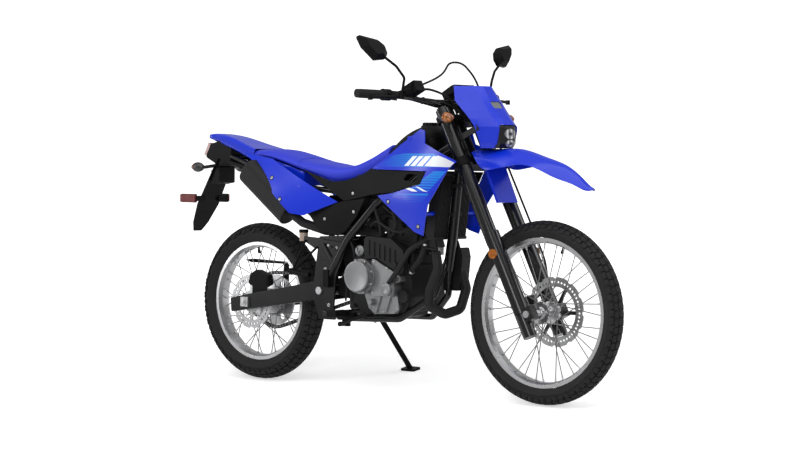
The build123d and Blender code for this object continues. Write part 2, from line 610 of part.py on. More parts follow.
with BuildPart() as rear_axle:
    across(0, REAR_RADIUS, REAR_AXLE_R, -ARM_Y_IN - ARM_THICK - 14, ARM_Y_IN + ARM_THICK + 12)
    for side in (-1, 1):
        across(0, REAR_RADIUS, 15, side * (ARM_Y_IN + ARM_THICK + 3), side * (ARM_Y_IN + ARM_THICK + 9))
    across(0, REAR_RADIUS, 15, -ARM_Y_IN, -REAR_DISC_Y - DISC_THICK / 2 - 1)
    across(0, REAR_RADIUS, 15, ARM_Y_IN, SPROCKET_Y + SPROCKET_THICK / 2 + 1)
    # the swingarm's pivot bolt
    across(PIVOT_X, PIVOT_Z, 8.8, -FRAME_HALF - PLATE_THICK - 8, FRAME_HALF + PLATE_THICK + 8)
    for side in (-1, 1):
        across(PIVOT_X, PIVOT_Z, 15, side * (FRAME_HALF + PLATE_THICK), side * (FRAME_HALF + PLATE_THICK + 8))
rear_axle.part.label = "rear_axle"

with BuildPart() as shock:
    low, high = Vector(372, 0, 432), Vector(478, 0, 580)
    reach = high - low
    rod(low, high, 12)
    rod(low + reach * 0.18, high - reach * 0.14, 26)
    for step in range(7):
        rod(low + reach * (0.16 + 0.1 * step), low + reach * (0.205 + 0.1 * step), 33)
    add(frame.part, mode=Mode.SUBTRACT)
    add(swingarm.part, mode=Mode.SUBTRACT)
    add(engine_cases.part, mode=Mode.SUBTRACT)
shock.part.label = "shock"

def chain_run(step, inner, outer):
    """The chain's closed centre line in half links, moved out and in by turns."""
    start, goal = Vector(0, 0, REAR_RADIUS), Vector(DRIVE_X, 0, DRIVE_Z)
    span = (goal - start).length
    big, small = SPROCKET_R + 7, DRIVE_SPROCKET_R + 6
    lean_by, slope = asin((big - small) / span), atan2(goal.Z - start.Z, goal.X - start.X)
    reach = span * cos(lean_by)
    top, back = slope + pi / 2 - lean_by, slope + 1.5 * pi + lean_by
    arcs = (big * (back - top), reach, small * (2 * pi - (back - top)), reach)
    count = 2 * round(sum(arcs) / step / 2)
    points = []
    for index in range(count):
        at = sum(arcs) * index / count
        out = outer if index % 2 else inner
        if at < arcs[0]:
            turn, centre, size, ahead = top + at / big, start, big, 0
        elif at < arcs[0] + arcs[1]:
            turn, centre, size, ahead = back, start, big, at - arcs[0]
        elif at < sum(arcs[:3]):
            turn, centre, size, ahead = back + (at - arcs[0] - arcs[1]) / small, goal, small, 0
        else:
            turn, centre, size, ahead = top, goal, small, at - sum(arcs[:3])
        points.append((centre.X + (size + out) * cos(turn) - ahead * sin(turn),
                       centre.Z + (size + out) * sin(turn) + ahead * cos(turn)))
    return points


CHAIN_PITCH = 15.875
with BuildPart() as chain:
    plate(chain_run(CHAIN_PITCH / 2, 4.6, 7.4), SPROCKET_Y - CHAIN_WIDTH / 2, SPROCKET_Y + CHAIN_WIDTH / 2)
    plate(chain_run(CHAIN_PITCH / 2, -4.6, -7.4), SPROCKET_Y - CHAIN_WIDTH, SPROCKET_Y + CHAIN_WIDTH,
          mode=Mode.SUBTRACT)
chain.part.label = "chain"

with BuildPart() as chain_guard:
    over = REAR_RADIUS + SPROCKET_R + CHAIN_DEPTH + 30
    plate([(-169, over + 9), (-130, over), (40, over), (200, over - 12), (330, over - 24), (330, over - 18),
           (200, over - 5), (40, over + 8), (-140, over + 14)], 62, ARM_Y_IN + 6)
    plate([(30, REAR_RADIUS + 20), (30, over + 2), (52, over + 2), (52, REAR_RADIUS + 30)], ARM_Y_IN - 4, ARM_Y_IN + 6)
    plate([(250, 390), (250, over - 12), (272, over - 12), (272, 394)], ARM_Y_IN - 4, ARM_Y_IN + 6)
    add(swingarm.part, mode=Mode.SUBTRACT)
chain_guard.part.label = "chain_guard"

# ============================================================ FUEL TANK
with BuildPart() as tank:
    hull_along_x([(640, 0, 66, 800, 858), (715, 0, 88, 806, 972), (775, 0, 98, 834, 1006),
                  (860, 0, 98, 872, 1036), (905, 0, 86, 912, 1030), (938, 0, 62, 934, 1004)], 30)
    with BuildSketch(Plane.XY.offset(1010)) as cap:
        with Locations((872, 0)):
            Circle(30)
    extrude(to_extrude=cap.sketch, amount=38)
    add(seat.part, mode=Mode.SUBTRACT)
    add(frame.part, mode=Mode.SUBTRACT)
    add(subframe.part, mode=Mode.SUBTRACT)
tank.part.label = "tank"

# ============================================================ RADIATORS
with BuildPart() as radiators:
    for side in (-1, 1):
        plate([(930, 606), (972, 606), (1003, 848), (962, 848)], side * 24, side * 96, 4)
        for y in range(32, 94, 8):
            plate([(971, 612), (979, 612), (1009, 842), (1001, 842)], side * y, side * (y + 3))
        plate([(955, 690), (1010, 690), (1010, 704), (955, 704)], side * 26, side * 4)
        plate([(955, 800), (1040, 800), (1040, 812), (955, 812)], side * 26, side * 4)
        plate([(926, 600), (976, 600), (978, 612), (928, 612)], side * 20, side * 100, 4)
        plate([(958, 843), (1008, 843), (1010, 856), (960, 856)], side * 20, side * 100, 4)
    # bottom hose from the water pump, and the bracketed box under the right radiator
    tube([(790, -148, 424), (835, -146, 480), (880, -128, 560), (940, -92, 606)], 40, 10)
    plate([(905, 566), (900, 604), (978, 604), (990, 572)], -92, -46, 6)
    rod((912, -96, 612), (898, -98, 572), 4)
    rod((898, -98, 572), (984, -98, 564), 4)
    rod((984, -98, 564), (972, -96, 610), 4)
    for neighbour in (frame, engine_cases, engine_covers, cylinder, exhaust_pipe):
        add(neighbour.part, mode=Mode.SUBTRACT)
radiators.part.label = "radiators"

# ========================================================== SIDE PANELS
def strip(z, points, wall):
    """A curved strip of a side panel seen from above, at height z."""
    with BuildSketch(Plane.XY.offset(z)) as section:
        with BuildLine():
            inner = [(x, y + wall) for x, y in points]
            Spline(*points)
            Line(points[-1], inner[-1])
            Spline(*reversed(inner))
            Line(inner[0], points[0])
        make_face()
    return section.sketch


SIDE_LINES = (
    (560, ((320, -122), (520, -134), (700, -136), (860, -160), (1000, -170), (1165, -150))),
    (700, ((320, -130), (520, -136), (700, -142), (860, -168), (1000, -182), (1165, -168))),
    (840, ((320, -126), (520, -130), (700, -138), (860, -168), (1000, -182), (1165, -178))),
    (930, ((320, -122), (520, -116), (700, -112), (860, -142), (1000, -168), (1165, -172))),
    (1040, ((320, -104), (520, -98), (700, -98), (860, -128), (1000, -150), (1165, -158))),
)
with BuildPart() as right_skin:
    loft(sections=[strip(z, points, SKIN) for z, points in SIDE_LINES])

SHROUD_OUTLINE = [(940, 1021), (964, 1014), (973, 966), (1142, 900), (1107, 872), (1053, 792), (1012, 735),
                  (981, 618), (935, 632), (737, 765), (826, 776), (973, 812), (1000, 862), (722, 866),
                  (690, 868), (827, 960)]
with BuildPart() as right_shroud:
    add(right_skin.part)
    plate(SHROUD_OUTLINE, -60, -240, mode=Mode.INTERSECT)
    across(880, 985, 9, -80, -136)
    across(968, 700, 8, -90, -178)
with BuildPart() as shrouds:
    add(right_shroud.part)
    mirror(about=Plane.XZ)
    add(tank.part, mode=Mode.SUBTRACT)
    add(radiators.part, mode=Mode.SUBTRACT)
shrouds.part.label = "shrouds"

COVER_OUTLINE = [(325, 862), (400, 838), (484, 814), (560, 821), (640, 844), (688, 870), (722, 862), (994, 858),
                 (970, 816), (826, 780), (718, 771), (554, 741)]
VENT = [(900, 852), (880, 826), (944, 822), (964, 848)]
with BuildPart() as right_cover:
    add(right_skin.part)
    plate(COVER_OUTLINE, -60, -240, mode=Mode.INTERSECT)
    plate(VENT, -60, -240, 6, mode=Mode.SUBTRACT)
    across(720, 815, 9, -84, -140)
with BuildPart() as side_covers:
    add(right_cover.part)
    mirror(about=Plane.XZ)
    add(tank.part, mode=Mode.SUBTRACT)
    add(frame.part, mode=Mode.SUBTRACT)
    add(seat.part, mode=Mode.SUBTRACT)
    add(shrouds.part, mode=Mode.SUBTRACT)
side_covers.part.label = "side_covers"

LOWER_OUTLINE = [(362, 690), (538, 738), (664, 752), (618, 684), (556, 622), (520, 604), (427, 617)]
with BuildPart() as right_lower:
    add(right_skin.part)
    plate(LOWER_OUTLINE, -60, -240, mode=Mode.INTERSECT)
    across(470, 660, 9, -60, -132.5)
with BuildPart() as lower_covers:
    add(right_lower.part)
    mirror(about=Plane.XZ)
    add(airbox.part, mode=Mode.SUBTRACT)
    add(frame.part, mode=Mode.SUBTRACT)
    add(subframe.part, mode=Mode.SUBTRACT)
    add(muffler.part, mode=Mode.SUBTRACT)
lower_covers.part.label = "lower_covers"

REAR_LINES = (
    (640, ((0, -176), (200, -184), (340, -172), (540, -134))),
    (740, ((0, -176), (200, -184), (340, -166), (540, -136))),
    (840, ((0, -156), (200, -150), (340, -140), (540, -132))),
    (940, ((0, -108), (200, -112), (340, -116), (540, -116))),
)
REAR_OUTLINE = [(4, 926), (113, 856), (200, 772), (302, 688), (366, 680), (520, 736), (312, 832), (160, 902)]
with BuildPart() as right_rear:
    loft(sections=[strip(z, points, SKIN) for z, points in REAR_LINES])
    plate(REAR_OUTLINE, -60, -240, mode=Mode.INTERSECT)
    across(330, 790, 8, -78, -155)
with BuildPart() as rear_panels:
    add(right_rear.part)
    mirror(about=Plane.XZ)
    for neighbour in (seat, subframe, side_covers, lower_covers, muffler):
        add(neighbour.part, mode=Mode.SUBTRACT)
rear_panels.part.label = "rear_panels"
# ================================================================= TAIL
with BuildPart() as tail_panel:
    hull_along_x([(-288, 0, 30, 982, 1000), (-223, 0, 42, 962, 1002), (-146, 0, 62, 944, 990),
                  (-60, 0, 80, 918, 966), (20, 0, 98, 892, 944), (90, 0, 108, 870, 925), (150, 0, 112, 852, 905),
                  (230, 0, 113, 828, 886), (320, 0, 112, 796, 860)], 16)
    for neighbour in (seat, subframe, rear_panels, muffler, side_covers, lower_covers):
        add(neighbour.part, mode=Mode.SUBTRACT)
tail_panel.part.label = "tail_panel"

FLAP_PLANE = Plane(origin=(-222, 0, 900), x_dir=(0, 1, 0), z_dir=(0.876, 0, -0.482))
with BuildPart() as rear_mudguard:
    # under tray from the seat to the tail, and the lamp housing
    plate([(200, 800), (60, 838), (-150, 878), (-170, 890), (-150, 893), (60, 846), (200, 808)], -60, 60)
    plate([(-150, 870), (-150, 950), (-215, 975), (-268, 958), (-296, 906), (-216, 868)], -44, 44, 10)
    # the flap behind the wheel and its plate bracket
    with BuildSketch(FLAP_PLANE) as flap:
        with BuildLine():
            Polyline((-52, 0), (52, 0), (58, -170), (62, -215), (43, -305), (22, -345), (-22, -345), (-43, -305),
                     (-62, -215), (-58, -170), close=True)
        make_face()
    extrude(to_extrude=flap.sketch, amount=5)
    # two holes for the plate
    with BuildSketch(FLAP_PLANE.offset(-5)) as plate_holes:
        with Locations((-PLATE_HOLE_SPACING / 2, -120), (PLATE_HOLE_SPACING / 2, -120)):
            Circle(PLATE_HOLE_R)
    extrude(to_extrude=plate_holes.sketch, amount=20, mode=Mode.SUBTRACT)
    plate([(-262, 792), (-262, 850), (-214, 872), (-214, 800)], -46, 46, 6)
    for side in (-1, 1):
        plate([(-330, 722), (-330, 744), (-300, 744), (-300, 722)], side * 40, side * 92)
        plate([(-386, 716), (-386, 752), (-299, 752), (-299, 716)], side * 91, side * 96, 4)
    for neighbour in (seat, subframe, rear_panels, tail_panel, side_covers):
        add(neighbour.part, mode=Mode.SUBTRACT)
rear_mudguard.part.label = "rear_mudguard"

with BuildPart() as tail_lamp:
    plate([(-292, 912), (-270, 958), (-286, 966), (-312, 914)], -38, 38, 3)
    add(rear_mudguard.part, mode=Mode.SUBTRACT)
tail_lamp.part.label = "tail_lamp"

with BuildPart() as rear_reflectors:
    for side in (-1, 1):
        plate([(-385, 718), (-385, 750), (-300, 750), (-300, 718)], side * 96, side * 104, 4)
rear_reflectors.part.label = "rear_reflectors"

with BuildPart() as rear_indicators:
    for side in (-1, 1):
        rod((-236, side * 30, 872), (-250, side * 112, 862), 7)
        almond((-259, side * 128, 864), 36, 20)
    add(rear_mudguard.part, mode=Mode.SUBTRACT)
rear_indicators.part.label = "rear_indicators"

# ====================================================== PEGS AND CONTROLS
with BuildPart() as foot_pegs:
    for side in (-1, 1):
        plate([(540, 278), (540, 308), (622, 308), (622, 278)], side * (PLATE_MID + CRADLE_R - 4), side * 158, 6)
        plate([(556, 294), (556, 318), (604, 318), (604, 294)], side * 150, side * 238, 4)
        # passenger pegs, folded, each on two thin stays behind the frame
        stay_y = side * (FRAME_HALF + PLATE_THICK + 3)
        rod((PIVOT_X - 75, stay_y, PIVOT_Z + 196), (PIVOT_X - 139, stay_y, PIVOT_Z + 80), 5)
        rod((PIVOT_X - 14, stay_y, PIVOT_Z + 170), (PIVOT_X - 139, stay_y, PIVOT_Z + 72), 5)
        rod((PIVOT_X - 150, stay_y + side * 4, PIVOT_Z + 70), (PIVOT_X - 48, stay_y + side * 4, PIVOT_Z + 60), 11)
        across(PIVOT_X - 150, PIVOT_Z + 74, 9, stay_y - side * 8, stay_y + side * 14)
    add(frame.part, mode=Mode.SUBTRACT)
foot_pegs.part.label = "foot_pegs"

with BuildPart() as foot_controls:
    # brake pedal on the right
    across(560, 262, 9, -PLATE_MID, -166)
    tube([(560, -160, 262), (640, -176, 286), (700, -178, 300)], 30, 7)
    plate([(690, 296), (690, 312), (725, 312), (725, 296)], -196, -156, 4)
    plate([(545, 252), (545, 282), (575, 282), (575, 252)], -PLATE_MID - CRADLE_R + 2, -PLATE_MID + 6)
    # gear lever on the left
    across(640, 340, 8, ENGINE_HALF - 2, 168)
    tube([(640, 162, 340), (700, 168, 330), (770, 172, 326)], 30, 6)
    across(770, 326, 9, 160, 205)
    add(frame.part, mode=Mode.SUBTRACT)
    add(foot_pegs.part, mode=Mode.SUBTRACT)
    add(engine_cases.part, mode=Mode.SUBTRACT)
    add(engine_covers.part, mode=Mode.SUBTRACT)
foot_controls.part.label = "foot_controls"

with BuildPart() as rear_caliper:
    plate([(-6, 392), (6, 432), (40, 452), (104, 430), (108, 392), (60, 372)], -ARM_Y_IN + 2, -58, 12)
    plate([(20, 342), (20, 400), (90, 400), (90, 360)], -ARM_Y_IN + 3, -REAR_DISC_Y - DISC_THICK / 2 - 2)
    across(0, REAR_RADIUS, REAR_DISC_R + 3, -REAR_DISC_Y - DISC_THICK / 2 - 1.2,
           -REAR_DISC_Y + DISC_THICK / 2 + 1.2, mode=Mode.SUBTRACT)
    plate([(20, 330), (20, 420), (100, 420), (100, 345)], -ARM_Y_IN, -ARM_Y_IN + 4)
    add(swingarm.part, mode=Mode.SUBTRACT)
rear_caliper.part.label = "rear_caliper"

with BuildPart() as rear_brake_parts:
    # reservoir, master cylinder and the two thin stays
    with BuildSketch(Plane.XY.offset(573)) as pot:
        with Locations((322, -114)):
            Circle(16)
    extrude(to_extrude=pot.sketch, amount=40)
    with BuildSketch(Plane.XY.offset(612)) as pot_cap:
        with Locations((322, -114)):
            Circle(18)
    extrude(to_extrude=pot_cap.sketch, amount=10)
    plate([(452, 400), (452, 470), (480, 470), (480, 400)], -FRAME_HALF - PLATE_THICK, -FRAME_HALF - PLATE_THICK - 18, 6)
    add(frame.part, mode=Mode.SUBTRACT)
rear_brake_parts.part.label = "rear_brake_parts"

# ============================================================= STEERING
def fork_sides():
    return (-1, 1)


with BuildPart() as fork_legs:
    for side in fork_sides():
        y = side * FORK_SPREAD
        along_steering(FORK_OFFSET, y, FORK_OUTER_R, FORK_SLEEVE_END, FORK_TOP)
        along_steering(FORK_OFFSET, y, FORK_INNER_R, AXLE_ALONG, FORK_SLEEVE_END + 5)
        along_steering(FORK_OFFSET, y, FORK_OUTER_R - 1, AXLE_ALONG - 78, AXLE_ALONG + 60)
        steering_block(FORK_OFFSET, AXLE_AHEAD + 22, y - 16 * side, y + 18 * side, AXLE_ALONG - 26, AXLE_ALONG + 26)
        along_steering(FORK_OFFSET, y, FORK_OUTER_R - 6, FORK_TOP, FORK_TOP + 8)
    across(WHEELBASE, FRONT_RADIUS, FRONT_AXLE_R, -200, 200, mode=Mode.SUBTRACT)
fork_legs.part.label = "fork_legs"

with BuildPart() as front_axle:
    across(WHEELBASE, FRONT_RADIUS, FRONT_AXLE_R, -FORK_SPREAD - 24, FORK_SPREAD + 24)
    across(WHEELBASE, FRONT_RADIUS, 14, -FORK_SPREAD + 16, -FRONT_HUB_HALF - 1)
    across(WHEELBASE, FRONT_RADIUS, 12, FORK_SPREAD - 16, FRONT_DISC_Y + DISC_THICK / 2 + 1)
    for side in fork_sides():
        across(WHEELBASE, FRONT_RADIUS, 13, side * (FORK_SPREAD + 18), side * (FORK_SPREAD + 27))
front_axle.part.label = "front_axle"

with BuildPart() as fork_guards:
    for side in fork_sides():
        with BuildSketch(STEER.offset(AXLE_ALONG + 12)) as guard:
            with Locations((FORK_OFFSET, side * FORK_SPREAD)):
                Circle(FORK_OUTER_R + 7)
                Circle(FORK_OUTER_R + 3.3, mode=Mode.SUBTRACT)
            with Locations((FORK_OFFSET - 40, side * FORK_SPREAD)):
                Rectangle(64, 90, mode=Mode.SUBTRACT)
        extrude(to_extrude=guard.sketch, amount=FORK_SLEEVE_END + 30 - AXLE_ALONG)
    steering_block(-60, 160, -FORK_SPREAD + 27, FORK_SPREAD - 27, 300, 800, mode=Mode.SUBTRACT)
    add(fork_legs.part, mode=Mode.SUBTRACT)
fork_guards.part.label = "fork_guards"

with BuildPart() as front_fender:
    shell_along_x([(NOSE_X + ahead, *rest) for ahead, *rest in (
        (118, 62, 928, 938, 942), (150, 80, 915, 936, 945), (200, 90, 872, 926, 948), (260, 95, 874, 922, 950),
        (307, 93, 882, 920, 949), (360, 88, 890, 914, 939), (420, 80, 882, 902, 921), (514, 62, 842, 872, 891),
        (590, 40, 814, 830, 842), (640, 14, 799, 804, 809))], 4)
    plate([(NOSE_X + 156, 937), (NOSE_X + 168, 937), (NOSE_X + 252, 748), (NOSE_X + 242, 746)], -60, 60)
front_fender.part.label = "front_fender"

LOWER_H = HEAD_LOW - YOKE_GAP - LOWER_YOKE
UPPER_H = HEAD_HIGH + YOKE_GAP
with BuildPart() as yokes:
    for h, depth in ((LOWER_H, LOWER_YOKE), (UPPER_H, UPPER_YOKE)):
        with BuildSketch(STEER.offset(h)) as yoke:
            with Locations((FORK_OFFSET / 2 + 2, 0)):
                RectangleRounded(58, 2 * FORK_SPREAD, 12)
            for side in fork_sides():
                with Locations((FORK_OFFSET, side * FORK_SPREAD)):
                    Circle(FORK_OUTER_R + 8)
        extrude(to_extrude=yoke.sketch, amount=depth)
    along_steering(0, 0, STEM_R, LOWER_H, UPPER_H + UPPER_YOKE + 8)
    steering_block(FORK_OFFSET + 10, FORK_OFFSET + 72, -24, 24, LOWER_H + 12, LOWER_H + LOWER_YOKE)
    for side in fork_sides():
        along_steering(18, side * 38, 15, UPPER_H + UPPER_YOKE, 1232)
        steering_block(0, 36, side * 24, side * 52, 1226, 1250)
    for side in fork_sides():
        along_steering(FORK_OFFSET, side * FORK_SPREAD, FORK_OUTER_R, 0, 2000, mode=Mode.SUBTRACT)
    add(front_fender.part, mode=Mode.SUBTRACT)
yokes.part.label = "yokes"

BAR_CENTRE = 1238.0


def bar_points(side):
    return [steer(18, side * 0.0, BAR_CENTRE), steer(18, side * 100, BAR_CENTRE), steer(-4, side * 215, 1279),
            steer(-53, side * 272, 1314), steer(-74, side * 418, 1328)]


with BuildPart() as handlebar:
    for side in fork_sides():
        tube(bar_points(side), 55, BAR_R)
    # cross bar between the rises
    rod(steer(6, -160, 1262), steer(6, 160, 1262), 7)
    for side in fork_sides():
        rod(steer(7, side * 160, 1256), steer(3, side * 160, 1270), 13)
    add(yokes.part, mode=Mode.SUBTRACT)
handlebar.part.label = "handlebar"

with BuildPart() as grips:
    for side in fork_sides():
        inner, outer = bar_points(side)[3], bar_points(side)[4]
        step = outer - inner
        rod(inner + step * 0.2, inner + step * 1.04, GRIP_R)
        rod(inner + step * 0.16, inner + step * 0.2, GRIP_R + 6)
    add(handlebar.part, mode=Mode.SUBTRACT)
grips.part.label = "grips"

with BuildPart() as hand_controls:
    for side in fork_sides():
        perch = bar_points(side)[2] * 0.25 + bar_points(side)[3] * 0.75
        run = (bar_points(side)[3] - bar_points(side)[2]).normalized()
        rod(perch - run * 13, perch + run * 13, 18)
        pivot = perch + Vector(46, side * 12, -3)
        rod(perch, pivot, 10)
        rod(pivot + Vector(0, 0, 10), pivot - Vector(0, 0, 10), 11)
        tube([pivot, pivot + Vector(-4, side * 60, -4), pivot + Vector(-24, side * 150, -8)], 50, 6)
        with BuildSketch(Plane.XY.offset((pivot + Vector(-24, side * 150, -8)).Z - 9)) as ball:
            with Locations(((pivot + Vector(-24, side * 150, -8)).X, (pivot + Vector(-24, side * 150, -8)).Y)):
                Circle(9)
        extrude(to_extrude=ball.sketch, amount=18)
        # switch box beside the grip
        switch = bar_points(side)[3]
        turn = (bar_points(side)[4] - bar_points(side)[3]).normalized()
        rod(switch - turn * 4, switch + turn * 20, 22)
    # front master cylinder with its reservoir, on the right
    steering_block(4, 60, -246, -196, 1276, 1318)
    rod(steer(-41, -258, 1305), steer(30, -236, 1292), 12)
    add(handlebar.part, mode=Mode.SUBTRACT)
    add(grips.part, mode=Mode.SUBTRACT)
hand_controls.part.label = "hand_controls"


# the headlight mask: z, ridge x, edge x, half width
MASK_LEVELS = [(z, NOSE_X + ridge, NOSE_X + edge, half) for z, ridge, edge, half in (
    (950, 255, 180, 80), (968, 266, 180, 84), (1030, 262, 164, 98), (1060, 236, 142, 101),
    (1091, 211, 112, 103), (1128, 184, 70, 99), (1184, 144, 52, 84))]
LAMP_MID, LAMP_WIDE, LAMP_TALL = 990, 110, 96
PARKING_MID, PARKING_WIDE, PARKING_TALL = 1113, 62, 26


def lamp_block(middle, wide, tall, corner, far, near, mode=Mode.ADD):
    """A rounded block along X, as far ahead of the bars as it says."""
    with BuildSketch(Plane.YZ.offset(NOSE_X + near)) as face:
        with Locations((0, middle)):
            RectangleRounded(wide, tall, corner)
    extrude(to_extrude=face.sketch, amount=far - near, mode=mode)


with BuildPart() as mask_core:
    for first, last in zip(MASK_LEVELS[:-1], MASK_LEVELS[1:]):
        faces = []
        for z, ridge, edge, half in (first, last):
            with BuildSketch(Plane.XY.offset(z)) as level:
                with BuildLine():
                    Polyline((edge - 40, -half + SKIN), (edge - 5, -half + SKIN), (ridge - 14 - SKIN, -0.56 * half),
                             (ridge - SKIN, -0.26 * half), (ridge - SKIN, 0.26 * half),
                             (ridge - 14 - SKIN, 0.56 * half), (edge - 5, half - SKIN), (edge - 40, half - SKIN),
                             close=True)
                make_face()
            faces.append(level.sketch)
        loft(sections=faces, ruled=True)
with BuildPart() as headlight_mask:
    for first, last in zip(MASK_LEVELS[:-1], MASK_LEVELS[1:]):
        faces = []
        for z, ridge, edge, half in (first, last):
            with BuildSketch(Plane.XY.offset(z)) as level:
                with BuildLine():
                    Polyline((edge, -half), (ridge - 14, -0.58 * half), (ridge, -0.28 * half), (ridge, 0.28 * half),
                             (ridge - 14, 0.58 * half), (edge, half), close=True)
                make_face()
            faces.append(level.sketch)
        loft(sections=faces, ruled=True)
    add(mask_core.part, mode=Mode.SUBTRACT)
    # openings for the lamp and the parking light
    lamp_block(LAMP_MID, LAMP_WIDE, LAMP_TALL, 12, 320, 120, mode=Mode.SUBTRACT)
    lamp_block(PARKING_MID, PARKING_WIDE, PARKING_TALL, 8, 320, 120, mode=Mode.SUBTRACT)
headlight_mask.part.label = "headlight_mask"

with BuildPart() as lenses:
    lamp_block(LAMP_MID, LAMP_WIDE - 0.6, LAMP_TALL - 0.6, 11.7, 320, 214)
    lamp_block(PARKING_MID, PARKING_WIDE - 0.6, PARKING_TALL - 0.6, 7.7, 320, 160)
    add(mask_core.part, mode=Mode.INTERSECT)
with BuildPart() as headlamp:
    add(lenses.part)
    # bowls behind the lenses
    lamp_block(LAMP_MID + 2, LAMP_WIDE - 16, LAMP_TALL - 16, 20, 222, 150)
    lamp_block(PARKING_MID, PARKING_WIDE - 8, PARKING_TALL - 6, 6, 166, 142)
    # bracket that ties the lamp, the instrument and the mask to the upper yoke
    plate([(NOSE_X + x, z) for x, z in ((60, 1050), (60, 1150), (75, 1150), (150, 1112), (158, 1000), (142, 1000),
                                        (130, 1090), (80, 1050))], -22, 22)
    steering_block(FORK_OFFSET, FORK_OFFSET + 90, -14, 14, UPPER_H + 2, UPPER_H + 20)
    for side in fork_sides():
        steering_block(FORK_OFFSET, FORK_OFFSET + 122, side * (FORK_SPREAD - 12), side * (FORK_SPREAD - 1.5),
                       1068, 1090)
    add(headlight_mask.part, mode=Mode.SUBTRACT)
    add(yokes.part, mode=Mode.SUBTRACT)
    add(fork_legs.part, mode=Mode.SUBTRACT)
headlamp.part.label = "headlamp"

with BuildPart() as instrument:
    with BuildSketch(Plane(origin=(NOSE_X + 18, 0, 1150), x_dir=(0, 1, 0), z_dir=(-0.5, 0, 0.866))) as dial:
        RectangleRounded(140, 72, 14)
    extrude(to_extrude=dial.sketch, amount=26)
    rod((NOSE_X + 70, 0, 1130), (NOSE_X + 22, 0, 1158), 12)
    add(headlamp.part, mode=Mode.SUBTRACT)
    add(headlight_mask.part, mode=Mode.SUBTRACT)
instrument.part.label = "instrument"

with BuildPart() as front_indicators:
    for side in fork_sides():
        rod(steer(FORK_OFFSET + 10, side * FORK_SPREAD, 1150), (NOSE_X + 98, side * 174, 1062), 7)
        almond((NOSE_X + 98, side * 187, 1063), 36, 19)
    add(fork_legs.part, mode=Mode.SUBTRACT)
front_indicators.part.label = "front_indicators"

with BuildPart() as fork_reflectors:
    for side in fork_sides():
        centre = steer(FORK_OFFSET + 4, side * (FORK_SPREAD + FORK_OUTER_R + 10), 612)
        across(centre.X, centre.Z, 18, side * (FORK_SPREAD + FORK_OUTER_R + 7.3), side * (FORK_SPREAD + FORK_OUTER_R + 14))
fork_reflectors.part.label = "fork_reflectors"

MIRROR_OUTLINE = ((72, 50), (-28, 30), (-60, 6), (-66, -22), (-50, -44), (4, -48), (54, 2))
with BuildPart() as mirrors:
    for side in fork_sides():
        tube([(NOSE_X - 50, side * 268, 1140), (NOSE_X - 38, side * 266, 1210), (NOSE_X - 50, side * 300, 1252),
              (NOSE_X - 62, side * 352, 1284)], 20, 5)
        # a shell that narrows forward from the glass
        faces = []
        back = Plane(origin=(NOSE_X - 92, side * 394, 1316), x_dir=(0, 1, 0), z_dir=(0.96, side * 0.12, 0.25))
        for depth, share in ((0, 1.0), (12, 1.0), (32, 0.62)):
            with BuildSketch(back.offset(depth)) as ring:
                with BuildLine():
                    FilletPolyline(*[(side * out * share, up * share) for out, up in MIRROR_OUTLINE],
                                   radius=9 * share, close=True)
                make_face()
            faces.append(ring.sketch)
        loft(sections=faces[:2], ruled=True)
        loft(sections=faces[1:], ruled=True)
    add(hand_controls.part, mode=Mode.SUBTRACT)
mirrors.part.label = "mirrors"

with BuildPart() as front_caliper:
    with BuildSketch(STEER.offset(AXLE_ALONG + 6)) as block:
        with Locations((-46, FRONT_DISC_Y + 3)):
            Rectangle(74, 44)
    extrude(to_extrude=block.sketch, amount=96)
    steering_block(-30, FORK_OFFSET - 24, FORK_SPREAD - 18, FORK_SPREAD - 6, AXLE_ALONG + 10, AXLE_ALONG + 58)
    across(WHEELBASE, FRONT_RADIUS, FRONT_DISC_R + 3, FRONT_DISC_Y - DISC_THICK / 2 - 1.2,
           FRONT_DISC_Y + DISC_THICK / 2 + 1.2, mode=Mode.SUBTRACT)
    add(fork_legs.part, mode=Mode.SUBTRACT)
    add(fork_guards.part, mode=Mode.SUBTRACT)
front_caliper.part.label = "front_caliper"

HOSE_R = 4.0
with BuildPart() as brake_hose:
    route = [steer(58, -206, 1300), steer(82, -150, 1312), steer(84, -80, 1340), steer(92, -28, 1386),
             steer(112, 22, 1374), steer(112, 66, 1310), steer(88, 94, 1240), steer(80, 110, 1150),
             steer(70, 112, 1040), steer(66, 121, 880), steer(66, 123, 700), steer(58, 134, 560),
             steer(26, 138, 480), steer(-18, 112, 448), steer(-46, 84, 440)]
    radii = []
    for before, corner, after in zip(route[:-2], route[1:-1], route[2:]):
        turn = (corner - before).get_angle(after - corner)
        run = min((corner - before).length, (after - corner).length)
        radii.append(0.45 * run / tan(radians(turn) / 2))
    tube(route, radii, HOSE_R)
    add(hand_controls.part, mode=Mode.SUBTRACT)
    add(front_caliper.part, mode=Mode.SUBTRACT)
brake_hose.part.label = "brake_hose"

